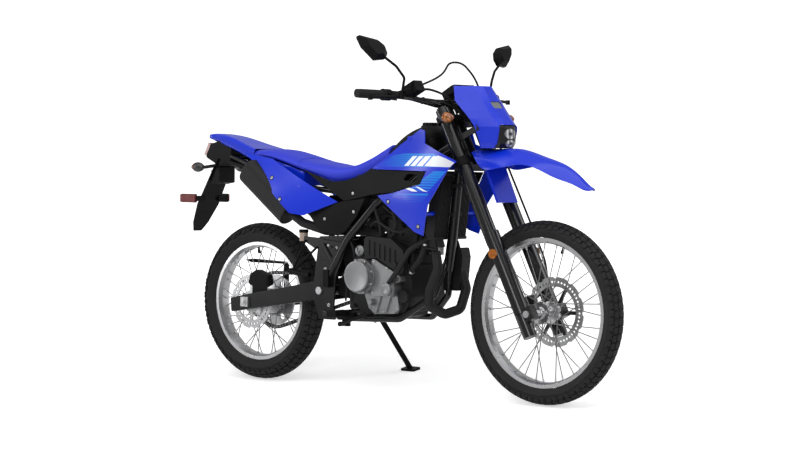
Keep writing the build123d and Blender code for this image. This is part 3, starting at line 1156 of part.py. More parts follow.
# ============================================================ SIDE STAND
FOOT_Z = lean_height(STAND_FOOT_Y)
with BuildPart() as side_stand:
    ground = Plane(origin=(STAND_FOOT_X, STAND_FOOT_Y, FOOT_Z), x_dir=(1, 0, 0),
                   z_dir=(0, -sin(radians(LEAN_DEG)), cos(radians(LEAN_DEG))))
    with BuildSketch(ground) as sole:
        RectangleRounded(74, 50, 12)
    extrude(to_extrude=sole.sketch, amount=FOOT_THICK)
    rod((STAND_X, STAND_Y, STAND_Z), (STAND_FOOT_X, STAND_FOOT_Y, FOOT_Z + FOOT_THICK / 2), STAND_LEG_R)
    split(bisect_by=ground, keep=Keep.TOP)
    rod(STAND_PIVOT - STAND_AXIS * (STAND_BOSS / 2), STAND_PIVOT + STAND_AXIS * (STAND_BOSS / 2), 17)
    rod(STAND_PIVOT - STAND_AXIS * 60, STAND_PIVOT - STAND_AXIS * (STAND_BOSS / 2), 20, mode=Mode.SUBTRACT)
    rod(STAND_PIVOT + STAND_AXIS * (STAND_BOSS / 2), STAND_PIVOT + STAND_AXIS * 26, 13, mode=Mode.SUBTRACT)
    rod(STAND_PIVOT - STAND_AXIS * 20, STAND_PIVOT + STAND_AXIS * 20, STAND_PIN_R + TURN_FIT, mode=Mode.SUBTRACT)
side_stand.part.label = "side_stand"


# ====================================================== STANCE AND EXPORT
PIECES = [frame, subframe, engine_cases, engine_covers, cylinder, airbox, exhaust_pipe, muffler, swingarm, rear_axle,
          shock, chain, chain_guard, tank, radiators, seat, shrouds, side_covers, lower_covers, rear_panels,
          tail_panel, rear_mudguard, tail_lamp, rear_reflectors, rear_indicators, foot_pegs, foot_controls,
          rear_caliper, rear_brake_parts,
          yokes, fork_legs, fork_guards, front_axle, front_fender, headlight_mask, headlamp, instrument,
          front_indicators, fork_reflectors, handlebar, grips, hand_controls, mirrors, front_caliper, brake_hose,
          front_tyre, front_rim, front_hub, front_spokes, front_disc,
          rear_tyre, rear_rim, rear_hub, rear_spokes, rear_disc, rear_sprocket,
          side_stand]
LEANED = Location((0, 0, 0), (-LEAN_DEG, 0, 0))
for piece in PIECES:
    piece.part.move(LEANED)
boxes = [piece.part.bounding_box() for piece in PIECES]
low = [min(getattr(box.min, axis) for box in boxes) for axis in "XYZ"]
high = [max(getattr(box.max, axis) for box in boxes) for axis in "XYZ"]
SHIFT = Vector(-(low[0] + high[0]) / 2, -(low[1] + high[1]) / 2, -low[2])
for piece in PIECES:
    piece.part.move(Location(SHIFT))
    export_step(piece.part, f"parts/{piece.part.label}.step")
print("shift", tuple(round(value, 4) for value in SHIFT), "size", [round(b - a, 2) for a, b in zip(low, high)])
for piece in PIECES:
    box = piece.part.bounding_box()
    print(f"{piece.part.label:18s} solids {len(piece.part.solids()):3d} low {box.min.Z:8.2f}")
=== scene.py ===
import json
from math import acos, atan2, cos, hypot, pi, radians, sin, sqrt

import bmesh
import bpy
from mathutils import Matrix, Vector


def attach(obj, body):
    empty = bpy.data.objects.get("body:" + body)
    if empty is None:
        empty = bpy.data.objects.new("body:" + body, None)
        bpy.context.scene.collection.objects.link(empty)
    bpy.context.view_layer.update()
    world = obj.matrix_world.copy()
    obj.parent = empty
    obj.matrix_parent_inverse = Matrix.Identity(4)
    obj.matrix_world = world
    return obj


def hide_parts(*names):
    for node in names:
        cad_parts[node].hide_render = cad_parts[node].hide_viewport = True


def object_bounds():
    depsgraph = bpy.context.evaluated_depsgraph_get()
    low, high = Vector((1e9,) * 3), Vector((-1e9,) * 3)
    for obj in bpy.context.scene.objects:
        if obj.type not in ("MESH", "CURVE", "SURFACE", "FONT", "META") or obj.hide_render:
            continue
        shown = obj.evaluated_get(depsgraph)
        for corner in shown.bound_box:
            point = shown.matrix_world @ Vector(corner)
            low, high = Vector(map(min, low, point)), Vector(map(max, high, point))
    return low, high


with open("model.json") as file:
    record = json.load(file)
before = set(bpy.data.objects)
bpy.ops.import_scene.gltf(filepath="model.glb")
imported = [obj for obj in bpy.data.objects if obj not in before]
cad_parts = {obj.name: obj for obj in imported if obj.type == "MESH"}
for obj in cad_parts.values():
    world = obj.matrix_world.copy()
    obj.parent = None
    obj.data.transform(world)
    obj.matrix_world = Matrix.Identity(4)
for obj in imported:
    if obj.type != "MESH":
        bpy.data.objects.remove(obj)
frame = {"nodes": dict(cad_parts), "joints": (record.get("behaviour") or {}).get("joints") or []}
cad_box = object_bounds()
node = frame["nodes"]

# =============================================================== FRAME
# Welded steel: a head tube, two main spars, a down tube and a split lower
# cradle that meet the flat pivot plates, and a box-section swingarm. All of
# it is painted gloss black.
joint = {j["name"]: j for j in frame["joints"]}
rear_axle = Vector(joint["rear_wheel_spin"]["pos_m"])
front_axle = Vector(joint["front_wheel_spin"]["pos_m"])
# the bike leans on its stand, so its own directions come from the wheels' axles
to_left = Vector(joint["rear_wheel_spin"]["axis"]).normalized()
forward = Vector((1, 0, 0))
upward = forward.cross(to_left)
REAR_AXLE_HEIGHT = 320
# millimetres on the upright bike, from the ground below the rear axle
upright = Matrix.Translation(rear_axle - upward * REAR_AXLE_HEIGHT / 1000) @ Matrix(
    (forward, to_left, upward)).transposed().to_4x4() @ Matrix.Scale(0.001, 4)

# what every stage of a finish hands to the next
LOOK = [("Colour", "Color"), ("Roughness", "Float")]


def socket_group(name, takes, gives):
    """A shader node group with named sockets; returns the tree, its inputs and its outputs."""
    tree = bpy.data.node_groups.new(name, "ShaderNodeTree")
    for label, kind, value in takes:
        made = tree.interface.new_socket(label, in_out="INPUT", socket_type="NodeSocket" + kind)
        made.default_value = value
    for label, kind in gives:
        tree.interface.new_socket(label, in_out="OUTPUT", socket_type="NodeSocket" + kind)
    return tree, tree.nodes.new("NodeGroupInput").outputs, tree.nodes.new("NodeGroupOutput").inputs


def step(tree, kind, links=(), operation=None, **settings):
    """One node of a tree; links pairs an input's name or number with a value or another node's output."""
    made = tree.nodes.new("ShaderNode" + kind)
    if operation:
        made.operation = operation
    for label, value in settings.items():
        setattr(made, label, value)
    for label, source in links:
        if isinstance(source, bpy.types.NodeSocket):
            tree.links.new(source, made.inputs[label])
        else:
            made.inputs[label].default_value = source
    return made


def calc(tree, operation, *values):
    """A sum on values or on other nodes' outputs."""
    return step(tree, "Math", enumerate(values), operation).outputs[0]


def fade(tree, value, low, high, to_low=0.0, to_high=1.0):
    """Rises evenly between two values, from 0 to 1 unless told otherwise."""
    return step(tree, "MapRange", [("Value", value), ("From Min", low), ("From Max", high), ("To Min", to_low),
                                   ("To Max", to_high)]).outputs[0]


def mix_colour(tree, factor, first, second):
    """The first colour where the factor is 0, the second where it is 1."""
    return step(tree, "Mix", [(0, factor), (6, first), (7, second)], data_type="RGBA").outputs[2]


def pass_on(tree, give, **values):
    """Links what a group works out to its outputs."""
    for label, source in values.items():
        tree.links.new(source, give[label])


def texture(tree, kind, scale, **inputs):
    """A texture that is fixed to the piece and moves with it."""
    place = step(tree, "TexCoord").outputs["Object"]
    return step(tree, kind, [("Vector", place), ("Scale", scale), *inputs.items()]).outputs[0]


# Uneven tone and fine grain, as on moulded, painted and cast surfaces
grain, take, give = socket_group("surface grain", [
    ("Colour", "Color", (0.5, 0.5, 0.5, 1)), ("Tone", "Color", (0.4, 0.4, 0.4, 1)),
    ("Tone Size", "Float", 0.1), ("Grain Size", "Float", 0.002), ("Roughness", "Float", 0.5),
    ("Roughness Spread", "Float", 0.1)], LOOK + [("Height", "Float")])
wide = texture(grain, "TexNoise", calc(grain, "DIVIDE", 1.0, take["Tone Size"]), Detail=4.0)
fine = texture(grain, "TexNoise", calc(grain, "DIVIDE", 1.0, take["Grain Size"]), Detail=3.0)
spread = calc(grain, "MULTIPLY_ADD", calc(grain, "ADD", wide, -0.5), take["Roughness Spread"], take["Roughness"])
pass_on(grain, give, Colour=mix_colour(grain, wide, take["Colour"], take["Tone"]), Roughness=spread, Height=fine)

# Corners that are rounded off and lighter in patches: wear, as where hands and boots rub, and on the tyres' blocks a
# painted highlight
edges, take, give = socket_group("rubbed edges", [
    ("Colour", "Color", (0.5, 0.5, 0.5, 1)), ("Roughness", "Float", 0.5), ("Edge Colour", "Color", (0.6, 0.6, 0.6, 1)),
    ("Edge Amount", "Float", 0.3)], LOOK + [("Normal", "Vector")])
rounded = step(edges, "Bevel", [("Radius", 0.0012)], samples=4).outputs[0]
flat = step(edges, "NewGeometry").outputs["Normal"]
turn = step(edges, "VectorMath", [(0, rounded), (1, flat)], "DOT_PRODUCT").outputs["Value"]
edge_patches = fade(edges, texture(edges, "TexNoise", 60.0, Detail=3.0), 0.45, 0.7)
# lighter corners: edge wear, and on the tyres painted highlight
wear_and_highlight_mask = calc(edges, "MULTIPLY", fade(edges, turn, 0.985, 0.85), edge_patches)
wear_and_highlight_mask = calc(edges, "MULTIPLY", wear_and_highlight_mask, take["Edge Amount"])
pass_on(edges, give, Colour=mix_colour(edges, wear_and_highlight_mask, take["Colour"], take["Edge Colour"]),
        Roughness=take["Roughness"], Normal=rounded)


def surface(colour, tone, tone_size, grain_size, roughness, spread):
    """The grain stage of a finish: two near tones in patches of one size in metres, and uneven gloss."""
    return grain, {"Colour": colour, "Tone": tone, "Tone Size": tone_size, "Grain Size": grain_size,
                   "Roughness": roughness, "Roughness Spread": spread}


def edge_wear_and_highlight_stage(colour, amount):
    """The stage of a finish that makes its corners lighter: edge wear, and on the tyres a painted highlight."""
    return edges, {"Edge Colour": colour, "Edge Amount": amount}


def finish(name, stages, bump=0.1, **shader_values):
    """A material: node groups in a row, each passing its colour and roughness on, ending in one shader."""
    made = bpy.data.materials.new(name)
    made.use_nodes = True
    tree = made.node_tree
    shader = tree.nodes["Principled BSDF"]
    for label, value in shader_values.items():
        shader.inputs[label.replace("_", " ")].default_value = value
    passed = {}
    for group, values in stages:
        stage = tree.nodes.new("ShaderNodeGroup")
        stage.node_tree = group
        for label, value in values.items():
            stage.inputs[label].default_value = (*value, 1) if label.endswith(("Colour", "Tone")) else value
        for label, source in passed.items():
            if label in stage.inputs and label not in values:
                tree.links.new(source, stage.inputs[label])
        passed.update({output.name: output for output in stage.outputs})
    tree.links.new(passed["Colour"], shader.inputs["Base Color"])
    tree.links.new(passed["Roughness"], shader.inputs["Roughness"])
    if "Metallic" in passed:
        tree.links.new(passed["Metallic"], shader.inputs["Metallic"])
    relief = step(tree, "Bump", [("Strength", bump), ("Distance", 0.0004), ("Height", passed["Height"])])
    if "Normal" in passed:
        tree.links.new(passed["Normal"], relief.inputs["Normal"])
    tree.links.new(relief.outputs[0], shader.inputs["Normal"])
    return made


def coat(material, *names):
    """Gives CAD nodes their finish."""
    for name in names:
        node[name].data.materials.clear()
        node[name].data.materials.append(material)


def piece(name, bm, body, material, smooth=35, round_off=0.0, levels=0):
    """A mesh piece drawn in millimetres, put in its place and tied to a body; smooth is its sharpest soft edge."""
    mesh = bpy.data.meshes.new(name)
    bmesh.ops.recalc_face_normals(bm, faces=bm.faces)
    bm.to_mesh(mesh)
    bm.free()
    mesh.transform(upright)
    mesh.materials.append(material)
    mesh.shade_smooth()
    mesh.set_sharp_from_angle(angle=radians(smooth))
    made = bpy.data.objects.new(name, mesh)
    bpy.context.scene.collection.objects.link(made)
    if round_off:
        rounded_off = made.modifiers.new("round off", "BEVEL")
        rounded_off.width, rounded_off.segments, rounded_off.limit_method = round_off / 1000, 2, "ANGLE"
    if levels:
        subdivided = made.modifiers.new("smooth", "SUBSURF")
        subdivided.levels = subdivided.render_levels = levels
    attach(made, body)
    return made


def skin(bm, rings, closed=True):
    """Faces between each row of corners and the next."""
    for first, last in zip(rings, rings[1:]):
        for i in range(len(first) if closed else len(first) - 1):
            j = (i + 1) % len(first)
            bm.faces.new((first[i], first[j], last[j], last[i]))


def lathe(bm, centre, direction, profile, sides=24, start=0.0):
    """Turned solid: profile holds radius and height along the direction, from one end to the other."""
    place = Matrix.Translation(Vector(centre)) @ Vector(direction).to_track_quat("Z", "Y").to_matrix().to_4x4()
    rings = [[bm.verts.new(place @ Vector((radius * cos(start + 2 * pi * i / sides),
                                           radius * sin(start + 2 * pi * i / sides), height)))
              for i in range(sides)] for radius, height in profile]
    skin(bm, rings)
    for end in (0, -1):
        if profile[end][0] > 0.01:
            bm.faces.new(rings[end])


frame_paint = finish("frame_paint", [
    surface((0.003, 0.003, 0.0035), (0.006, 0.006, 0.0065), 0.08, 0.0015, 0.24, 0.1),
    edge_wear_and_highlight_stage((0.07, 0.07, 0.075), 0.35)], bump=0.04, Specular_IOR_Level=0.3)
coat(frame_paint, "frame", "subframe", "swingarm")

# raised border on the triangular window of each pivot plate
PLATE_WINDOW, PLATE_FACE = ((424, 586), (541, 575), (489, 496)), 127.5
border = bmesh.new()
for side in (-1, 1):
    corners = [Vector((x, side * PLATE_FACE, z)) for x, z in PLATE_WINDOW]
    for a, b in zip(corners, corners[1:] + corners[:1]):
        along = (b - a).normalized()
        lathe(border, a - along * 2, along, [(4.6, 0), (4.6, (b - a).length + 4)], 8)
piece("plate_borders", border, "chassis", frame_paint)

# ============================================================== ENGINE
# A liquid-cooled single: black castings with silver covers on the right,
# closed by hexagon-socket screws. Pipe, muffler and radiators are black too.
casting_black = finish("casting_black", [
    surface((0.006, 0.006, 0.0065), (0.014, 0.014, 0.015), 0.05, 0.0012, 0.55, 0.15),
    edge_wear_and_highlight_stage((0.16, 0.16, 0.16), 0.3)], bump=0.35, Specular_IOR_Level=0.2)
casting_silver = finish("casting_silver", [
    surface((0.28, 0.28, 0.285), (0.2, 0.205, 0.21), 0.04, 0.0012, 0.42, 0.12),
    edge_wear_and_highlight_stage((0.5, 0.5, 0.51), 0.5)], bump=0.25, Metallic=0.85)
zinc = finish("zinc", [surface((0.5, 0.5, 0.5), (0.36, 0.36, 0.35), 0.01, 0.0006, 0.32, 0.15)],
              bump=0.05, Metallic=1.0)
coat(casting_black, "engine_cases", "cylinder", "muffler", "exhaust_pipe", "radiators")
coat(casting_silver, "engine_covers")


def bolt(bm, centre, direction, radius, height=4.0):
    """A socket-head bolt with a washer under it."""
    lathe(bm, centre, direction, [(radius * 1.35, -1.0), (radius * 1.35, 0.8), (radius, 0.9), (radius, height - 0.6),
                                  (radius * 0.85, height), (radius * 0.5, height), (radius * 0.45, height - 2.2)], 12)


def bolt_circle(bm, centre, ring, count, first, radius, height):
    """Bolts evenly round a cover on the right; first is the turn of the first one in degrees."""
    x, y, z = centre
    for k in range(count):
        a = radians(360 / count * k + first)
        bolt(bm, (x + ring * cos(a), y, z + ring * sin(a)), right_side, radius, height)


right_side = Vector((0, -1, 0))
heads = bmesh.new()
bolt_circle(heads, (645, -147, 450), 64, 8, 20, 3.6, 4.5)
for x, z in ((705, 508), (770, 486), (826, 458), (800, 434), (700, 388)):
    bolt(heads, (x, -132, z), right_side, 3.8, 4.5)
bolt_circle(heads, (787, -144, 408), 28.5, 3, 50, 2.8, 4)
for x, z in ((660, 386), (806, 376), (812, 336), (796, 319), (742, 316), (676, 331)):
    bolt(heads, (x, -118, z), right_side, 3.8, 5)
for x, z in ((467, 565), (511, 557), (470, 330), (450, 470)):
    for side in (1, -1):
        bolt(heads, (x, side * 126, z), (0, side, 0), 5.5, 6)
piece("engine_screws", heads, "chassis", zinc)


def block(bm, centre, size, lay=Matrix.Identity(4)):
    """A square-cornered block with its middle and its three sizes."""
    bmesh.ops.create_cube(bm, size=1, matrix=lay @ Matrix.Translation(centre) @ Matrix.Diagonal((*size, 1)))


# starter motor behind the cylinder and the finned rectifier below the radiator
parts = bmesh.new()
lathe(parts, (610, -70, 548), right_side,
      [(19, 0), (19, 30), (22, 32), (22, 38), (18, 42), (6, 43), (6, 46), (0.2, 46)], 32)
for k in range(6):
    block(parts, (938 + 8 * k, -64, 566), (3, 26, 40))
block(parts, (958, -52, 566), (52, 8, 46))
piece("electrics", parts, "chassis", casting_silver, round_off=0.8)

# the clutch cover's turned ring round a flat face, the water pump's cap and the oil plug
ring = bmesh.new()
lathe(ring, (639, -158, 450), right_side,
      [(60.5, 0), (60.5, 2.5), (59, 4.6), (56, 5.2), (54.5, 4.2), (53, 3.6), (0.2, 3.6)], 64)
lathe(ring, (787, -150, 408), right_side,
      [(23.5, 0), (23.5, 9), (21.5, 12), (17, 14.6), (15.6, 14.6), (15, 14.3), (0.2, 14.3)], 40)
lathe(ring, (690, -132, 352), right_side, [(12, 0), (12, 6), (10.5, 8), (0.2, 8)], 6)
piece("cover_rings", ring, "chassis", casting_silver)

# ======================================================= HOSES, WIRING
# Black rubber hoses and sleeved wires, pushed on and held by zinc-plated
# clips, along the frame and between the engine and the radiators.
rubber = finish("rubber", [surface((0.008, 0.008, 0.0085), (0.016, 0.0155, 0.015), 0.07, 0.0014, 0.72, 0.15)],
                bump=0.2, Specular_IOR_Level=0.2)


def run(bm, radius, points, sides=10, each=8):
    """A round hose through points, curving evenly from each to the next."""
    points = [Vector(p) for p in points]
    track = []
    for i in range(len(points) - 1):
        p0, p1 = points[max(i - 1, 0)], points[i]
        p2, p3 = points[i + 1], points[min(i + 2, len(points) - 1)]
        for k in range(each):
            t = k / each
            track.append(0.5 * ((2 * p1) + (p2 - p0) * t + (2 * p0 - 5 * p1 + 4 * p2 - p3) * t ** 2
                                + (3 * p1 - p0 - 3 * p2 + p3) * t ** 3))
    track.append(points[-1])
    rings = []
    guide = Vector((0.2, 0.3, 1)).normalized()
    for i, place in enumerate(track):
        way = (track[min(i + 1, len(track) - 1)] - track[max(i - 1, 0)]).normalized()
        guide = (guide - way * guide.dot(way)).normalized()
        other = way.cross(guide)
        rings.append([bm.verts.new(place + (guide * cos(a) + other * sin(a)) * radius)
                      for a in (2 * pi * j / sides for j in range(sides))])
    skin(bm, rings)
    bm.faces.new(rings[0])
    bm.faces.new(rings[-1])


hoses = bmesh.new()
run(hoses, 6, [(668, -96, 742), (700, -116, 700), (722, -120, 655), (716, -104, 604), (700, -92, 570)])
run(hoses, 7, [(758, -98, 748), (792, -122, 706), (806, -124, 660), (790, -112, 622), (762, -96, 600)])
run(hoses, 5, [(650, -90, 640), (706, -118, 664), (768, -126, 640), (824, -122, 626), (872, -104, 642)])
run(hoses, 4, [(706, -88, 726), (744, -110, 716), (790, -116, 690), (842, -112, 668), (884, -96, 690)])
run(hoses, 4, [(560, -116, 600), (590, -124, 560), (600, -126, 520), (588, -120, 470), (560, -116, 420),
               (548, -116, 350)])
run(hoses, 11, [(930, -84, 600), (926, -100, 560), (912, -108, 520), (884, -110, 492), (866, -100, 470)], 14)
run(hoses, 7, [(640, 96, 740), (700, 116, 700), (760, 118, 650), (792, 104, 600), (800, 96, 560)])
run(hoses, 11, [(930, 84, 600), (930, 104, 560), (906, 112, 520), (868, 108, 500)], 14)
piece("hoses", hoses, "chassis", rubber, smooth=60)
clips = bmesh.new()
for centre, way in (((927, -94, 578), (-3, -14, -36)), ((872, -104, 478), (-20, 6, -16))):
    lathe(clips, centre, Vector(way).normalized(), [(11.5, -4), (12.4, -4), (12.4, 4), (11.5, 4)])
piece("hose_clips", clips, "chassis", zinc)

# =================================================== CHASSIS FITTINGS
# Pegs, pedals, stand, shock absorber and calipers are bought in, finished in
# black; the air box and the rear mudguard are moulded in black plastic.
moulded_black = finish("moulded_black", [
    surface((0.0025, 0.0025, 0.003), (0.0055, 0.0055, 0.006), 0.09, 0.0009, 0.45, 0.1),
    edge_wear_and_highlight_stage((0.05, 0.05, 0.05), 0.25)], bump=0.2, Specular_IOR_Level=0.08)
coat(moulded_black, "airbox", "rear_mudguard", "chain_guard", "foot_pegs", "foot_controls", "side_stand", "shock",
     "rear_caliper", "rear_brake_parts", "front_caliper")

# ====================================================== REAR BRAKE, AXLE
# The fluid reservoir is moulded from pale clear plastic, with a black screw
# cap. Bright plates over the slots in the swingarm hold the axle in line.
satin_steel = finish("satin_steel", [
    surface((0.52, 0.52, 0.53), (0.42, 0.42, 0.43), 0.03, 0.001, 0.3, 0.12),
    edge_wear_and_highlight_stage((0.8, 0.8, 0.8), 0.4)], bump=0.08, Metallic=1.0)
coat(satin_steel, "rear_axle", "front_axle")
reservoir_plastic = finish("reservoir_plastic", [
    surface((0.4, 0.33, 0.27), (0.3, 0.2, 0.16), 0.02, 0.001, 0.3, 0.05)], bump=0.05)
pot = bmesh.new()
lathe(pot, (322, -114, 575), (0, 0, 1), [(14, 0), (16.5, 3), (17.5, 34), (17.0, 36)], 28)
piece("reservoir", pot, "chassis", reservoir_plastic)
pot = bmesh.new()
lathe(pot, (322, -114, 610), (0, 0, 1), [(17.5, 0), (19, 1), (19, 11), (17, 13), (0.2, 13)], 28)
piece("reservoir_cap", pot, "chassis", moulded_black)
plates = bmesh.new()
for side in (-1, 1):
    outward = (0, side, 0)
    lathe(plates, (0, side * 117, REAR_AXLE_HEIGHT), outward, [(28, 0), (28, 1.2), (26.5, 2)], 4, start=pi / 4)
    bolt(plates, (0, side * 119, REAR_AXLE_HEIGHT), outward, 11, 7)
piece("axle_plates", plates, "chassis", zinc)


# ============================================================== WHEELS
# Laced wheels, 18 inch behind and 21 inch in front. Aluminium rims, turned
# hubs and 36 steel spokes a wheel, each drawn up by a nipple in the rim.
def measure(tree, direction, start=None):
    """Millimetres along one of the bike's own directions, from the ground below the rear axle."""
    place = step(tree, "TexCoord").outputs["Object"]
    moved = step(tree, "VectorMath", [(0, place), (1, tuple(start or upright.translation))], "SUBTRACT").outputs[0]
    along = step(tree, "VectorMath", [(0, moved), (1, tuple(direction))], "DOT_PRODUCT").outputs["Value"]
    return calc(tree, "MULTIPLY", along, 1000.0)


def length(tree, first, second):
    """How far a point is from the middle, from its two distances."""
    flat = step(tree, "CombineXYZ", [(0, first), (1, second)]).outputs[0]
    return step(tree, "VectorMath", [(0, flat)], "LENGTH").outputs["Value"]


# The front disc: a steel track outside, a black carrier inside
two_rings, take, give = socket_group("disc rings", [
    ("Colour", "Color", (0.5, 0.5, 0.5, 1)), ("Roughness", "Float", 0.3),
    ("Carrier Colour", "Color", (0.006, 0.006, 0.006, 1))], LOOK + [("Metallic", "Float")])
CARRIER_RADIUS = 96.0
out = length(two_rings, measure(two_rings, forward, front_axle), measure(two_rings, upward, front_axle))
steel = fade(two_rings, out, CARRIER_RADIUS, CARRIER_RADIUS + 1)
pass_on(two_rings, give, Colour=mix_colour(two_rings, steel, take["Carrier Colour"], take["Colour"]),
        Roughness=take["Roughness"], Metallic=steel)
disc_steel = finish("disc_steel", [
    surface((0.55, 0.55, 0.56), (0.42, 0.42, 0.43), 0.03, 0.001, 0.3, 0.12), (two_rings, {})], bump=0.08)
rim_metal = finish("rim_metal", [
    surface((0.6, 0.6, 0.61), (0.5, 0.5, 0.51), 0.06, 0.0008, 0.28, 0.12),
    edge_wear_and_highlight_stage((0.85, 0.85, 0.85), 0.4)], bump=0.05, Metallic=1.0)
spoke_steel = finish("spoke_steel", [
    surface((0.2, 0.2, 0.2), (0.14, 0.14, 0.14), 0.02, 0.0008, 0.4, 0.12)], bump=0.05, Metallic=0.7)
coat(disc_steel, "front_disc")
coat(satin_steel, "rear_sprocket", "rear_disc")
coat(rim_metal, "front_rim", "rear_rim", "front_hub", "rear_hub")
coat(spoke_steel, "front_spokes", "rear_spokes")
# each axle's place along the bike and its height
AXLES = {"rear": (0.0, 320.0), "front": (1430.0, 343.0)}
# how many spokes, how many degrees each leans round the hub, and how far its head sits off the flange
SPOKES, CROSS, STAGGER = 36, 45.0, 5.0
for name, flange_r, flange_y, rim_in, rim_y, valve_turn in (
        ("rear", 63.4, 34.0, 219.05, 8.0, -8), ("front", 43.4, 31.0, 257.05, 7.0, 18)):
    ax, az = AXLES[name]
    nipples = bmesh.new()
    for index in range(SPOKES):
        side = 1 if index % 2 else -1
        lead = 1 if (index // 2) % 2 else -1
        rim_turn, hub_turn = radians(360 * index / SPOKES), radians(360 * index / SPOKES + lead * CROSS)
        head = Vector((ax + flange_r * sin(hub_turn), side * (flange_y + lead * STAGGER),
                       az + flange_r * cos(hub_turn)))
        tip = Vector((ax + rim_in * sin(rim_turn), side * rim_y, az + rim_in * cos(rim_turn)))
        along = (tip - head).normalized()
        lathe(nipples, tip - along * 13, along, [(1.9, 0), (3.0, 1.2), (3.0, 9), (4.2, 10.5), (4.6, 13)], 8)
        lathe(nipples, head - along * 5, along, [(2.6, 0), (3.2, 2.5), (1.9, 7)], 8)
    piece(name + "_nipples", nipples, name + "_wheel", satin_steel)
    valve = bmesh.new()
    outward = Vector((sin(radians(valve_turn)), 0, cos(radians(valve_turn))))
    lathe(valve, Vector((ax, 0, az)) + outward * (rim_in + 1), -outward,
          [(7, -2), (7, 1.5), (4.8, 2), (4.6, 12), (6.0, 13), (6.0, 24), (5.0, 26), (0.2, 26)], 14)
    piece(name + "_valve", valve, name + "_wheel", rubber)


# ============================================================== TYRES
# Block-pattern tyres for road and trail: a rubber carcass with moulded
# blocks, closer in the middle and deeper on the shoulders.
def tyre_curve(outer, half, crown, rim_r, rim_half):
    """The outside of a tyre from its middle to the rim, as distance out and radius, 1 mm apart."""
    reach, wall = 0.74 * half, outer - 0.62 * half
    fall = sqrt(crown ** 2 - reach ** 2)
    drop = crown - fall
    points = [(crown * sin(a), outer - crown * (1 - cos(a))) for a in [i / 24 * atan2(reach, fall) for i in range(25)]]
    # each end of the side's two arcs: where it is, and which way and how hard the curve leaves it
    shoulder = (reach, outer - drop), (crown * 0.35, -crown * 0.45)
    widest = (half, wall), (0.0, -(outer - drop - rim_r) * 0.62)
    bead = (rim_half - 1, rim_r + 0.5), (-(half - rim_half) * 1.1, -(wall - rim_r) * 0.9)
    for (a, ta), (b, tb) in ((shoulder, widest), (widest, bead)):
        for i in range(1, 21):
            t = i / 20
            h = (2 * t ** 3 - 3 * t ** 2 + 1, t ** 3 - 2 * t ** 2 + t, -2 * t ** 3 + 3 * t ** 2, t ** 3 - t ** 2)
            points.append(tuple(h[0] * a[k] + h[1] * ta[k] + h[2] * b[k] + h[3] * tb[k] for k in (0, 1)))
    lengths = [0.0]
    for a, b in zip(points, points[1:]):
        lengths.append(lengths[-1] + hypot(b[0] - a[0], b[1] - a[1]))
    curve, k = [], 0
    for mm in range(int(lengths[-1]) + 1):
        while lengths[k + 1] < mm:
            k += 1
        t = (mm - lengths[k]) / (lengths[k + 1] - lengths[k])
        curve.append(tuple(points[k][i] * (1 - t) + points[k + 1][i] * t for i in (0, 1)))
    return curve


def on_curve(curve, u, depth):
    """Distance out and radius at u millimetres along the curve, depth under its surface."""
    side, u = (1 if u >= 0 else -1), abs(u)
    k = min(int(u), len(curve) - 2)
    t = min(u - k, 1.0)
    (a, ra), (b, rb) = curve[k], curve[k + 1]
    along = (b - a, rb - ra)
    size = hypot(*along)
    out = (-along[1] / size, along[0] / size)
    return side * (a + (b - a) * t - out[0] * depth), ra + (rb - ra) * t - out[1] * depth


def block_tyre(name, curve, pitches, depth, blocks):
    """A tyre's skin with its blocks standing on it; depth is how far the skin lies under their tops."""
    ax, az = AXLES[name]
    bm = bmesh.new()

    def corner(turn, u, under):
        out, radius = on_curve(curve, u, under)
        return bm.verts.new((ax + radius * sin(turn), out, az + radius * cos(turn)))

    last_block = max(u for block in blocks for _, u in block)
    bead = len(curve) - 1
    rings = []
    for u in range(-bead, bead + 1, 3):
        beyond = min(max((abs(u) - last_block) / 8, 0), 1)
        under = depth * (1 - beyond ** 2 * (3 - 2 * beyond))
        for rib in (0.70, 0.86):
            under -= 0.9 if abs(abs(u) - rib * bead) < 1.6 else 0
        rings.append([corner(2 * pi * i / 120, u, under) for i in range(120)])
    skin(bm, rings)
    for pitch in range(pitches):
        for block in blocks:
            middle = sum(u for _, u in block) / len(block)
            centre = sum(share for share, _ in block) / len(block)
            for flip, shift in ((1, 0), (-1, 0.5)) if middle > 14 else ((1, 0),):
                def turned(share):
                    return 2 * pi * (pitch + share + shift) / pitches
                top = [corner(turned(share), flip * u, 0) for share, u in block]
                foot = [corner(turned(centre + (share - centre) * 1.07), flip * (middle + (u - middle) * 1.09),
                               depth + 0.5) for share, u in block]
                crown_point = corner(turned(centre), flip * middle, 0)
                for i in range(len(block)):
                    j = (i + 1) % len(block)
                    bm.faces.new((top[i], top[j], crown_point))
                    bm.faces.new((foot[i], foot[j], top[j], top[i]))
    tyre = piece(name + "_tread", bm, name + "_wheel", tyre_rubber, smooth=38)
    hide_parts(name + "_tyre")


# the lighter block edges from the edge stage are painted highlight on new rubber
tyre_rubber = finish("tyre_rubber", [
    surface((0.01, 0.01, 0.0105), (0.02, 0.0195, 0.019), 0.05, 0.0018, 0.7, 0.2),
    edge_wear_and_highlight_stage((0.09, 0.088, 0.085), 0.9)], bump=0.25, Specular_IOR_Level=0.2)
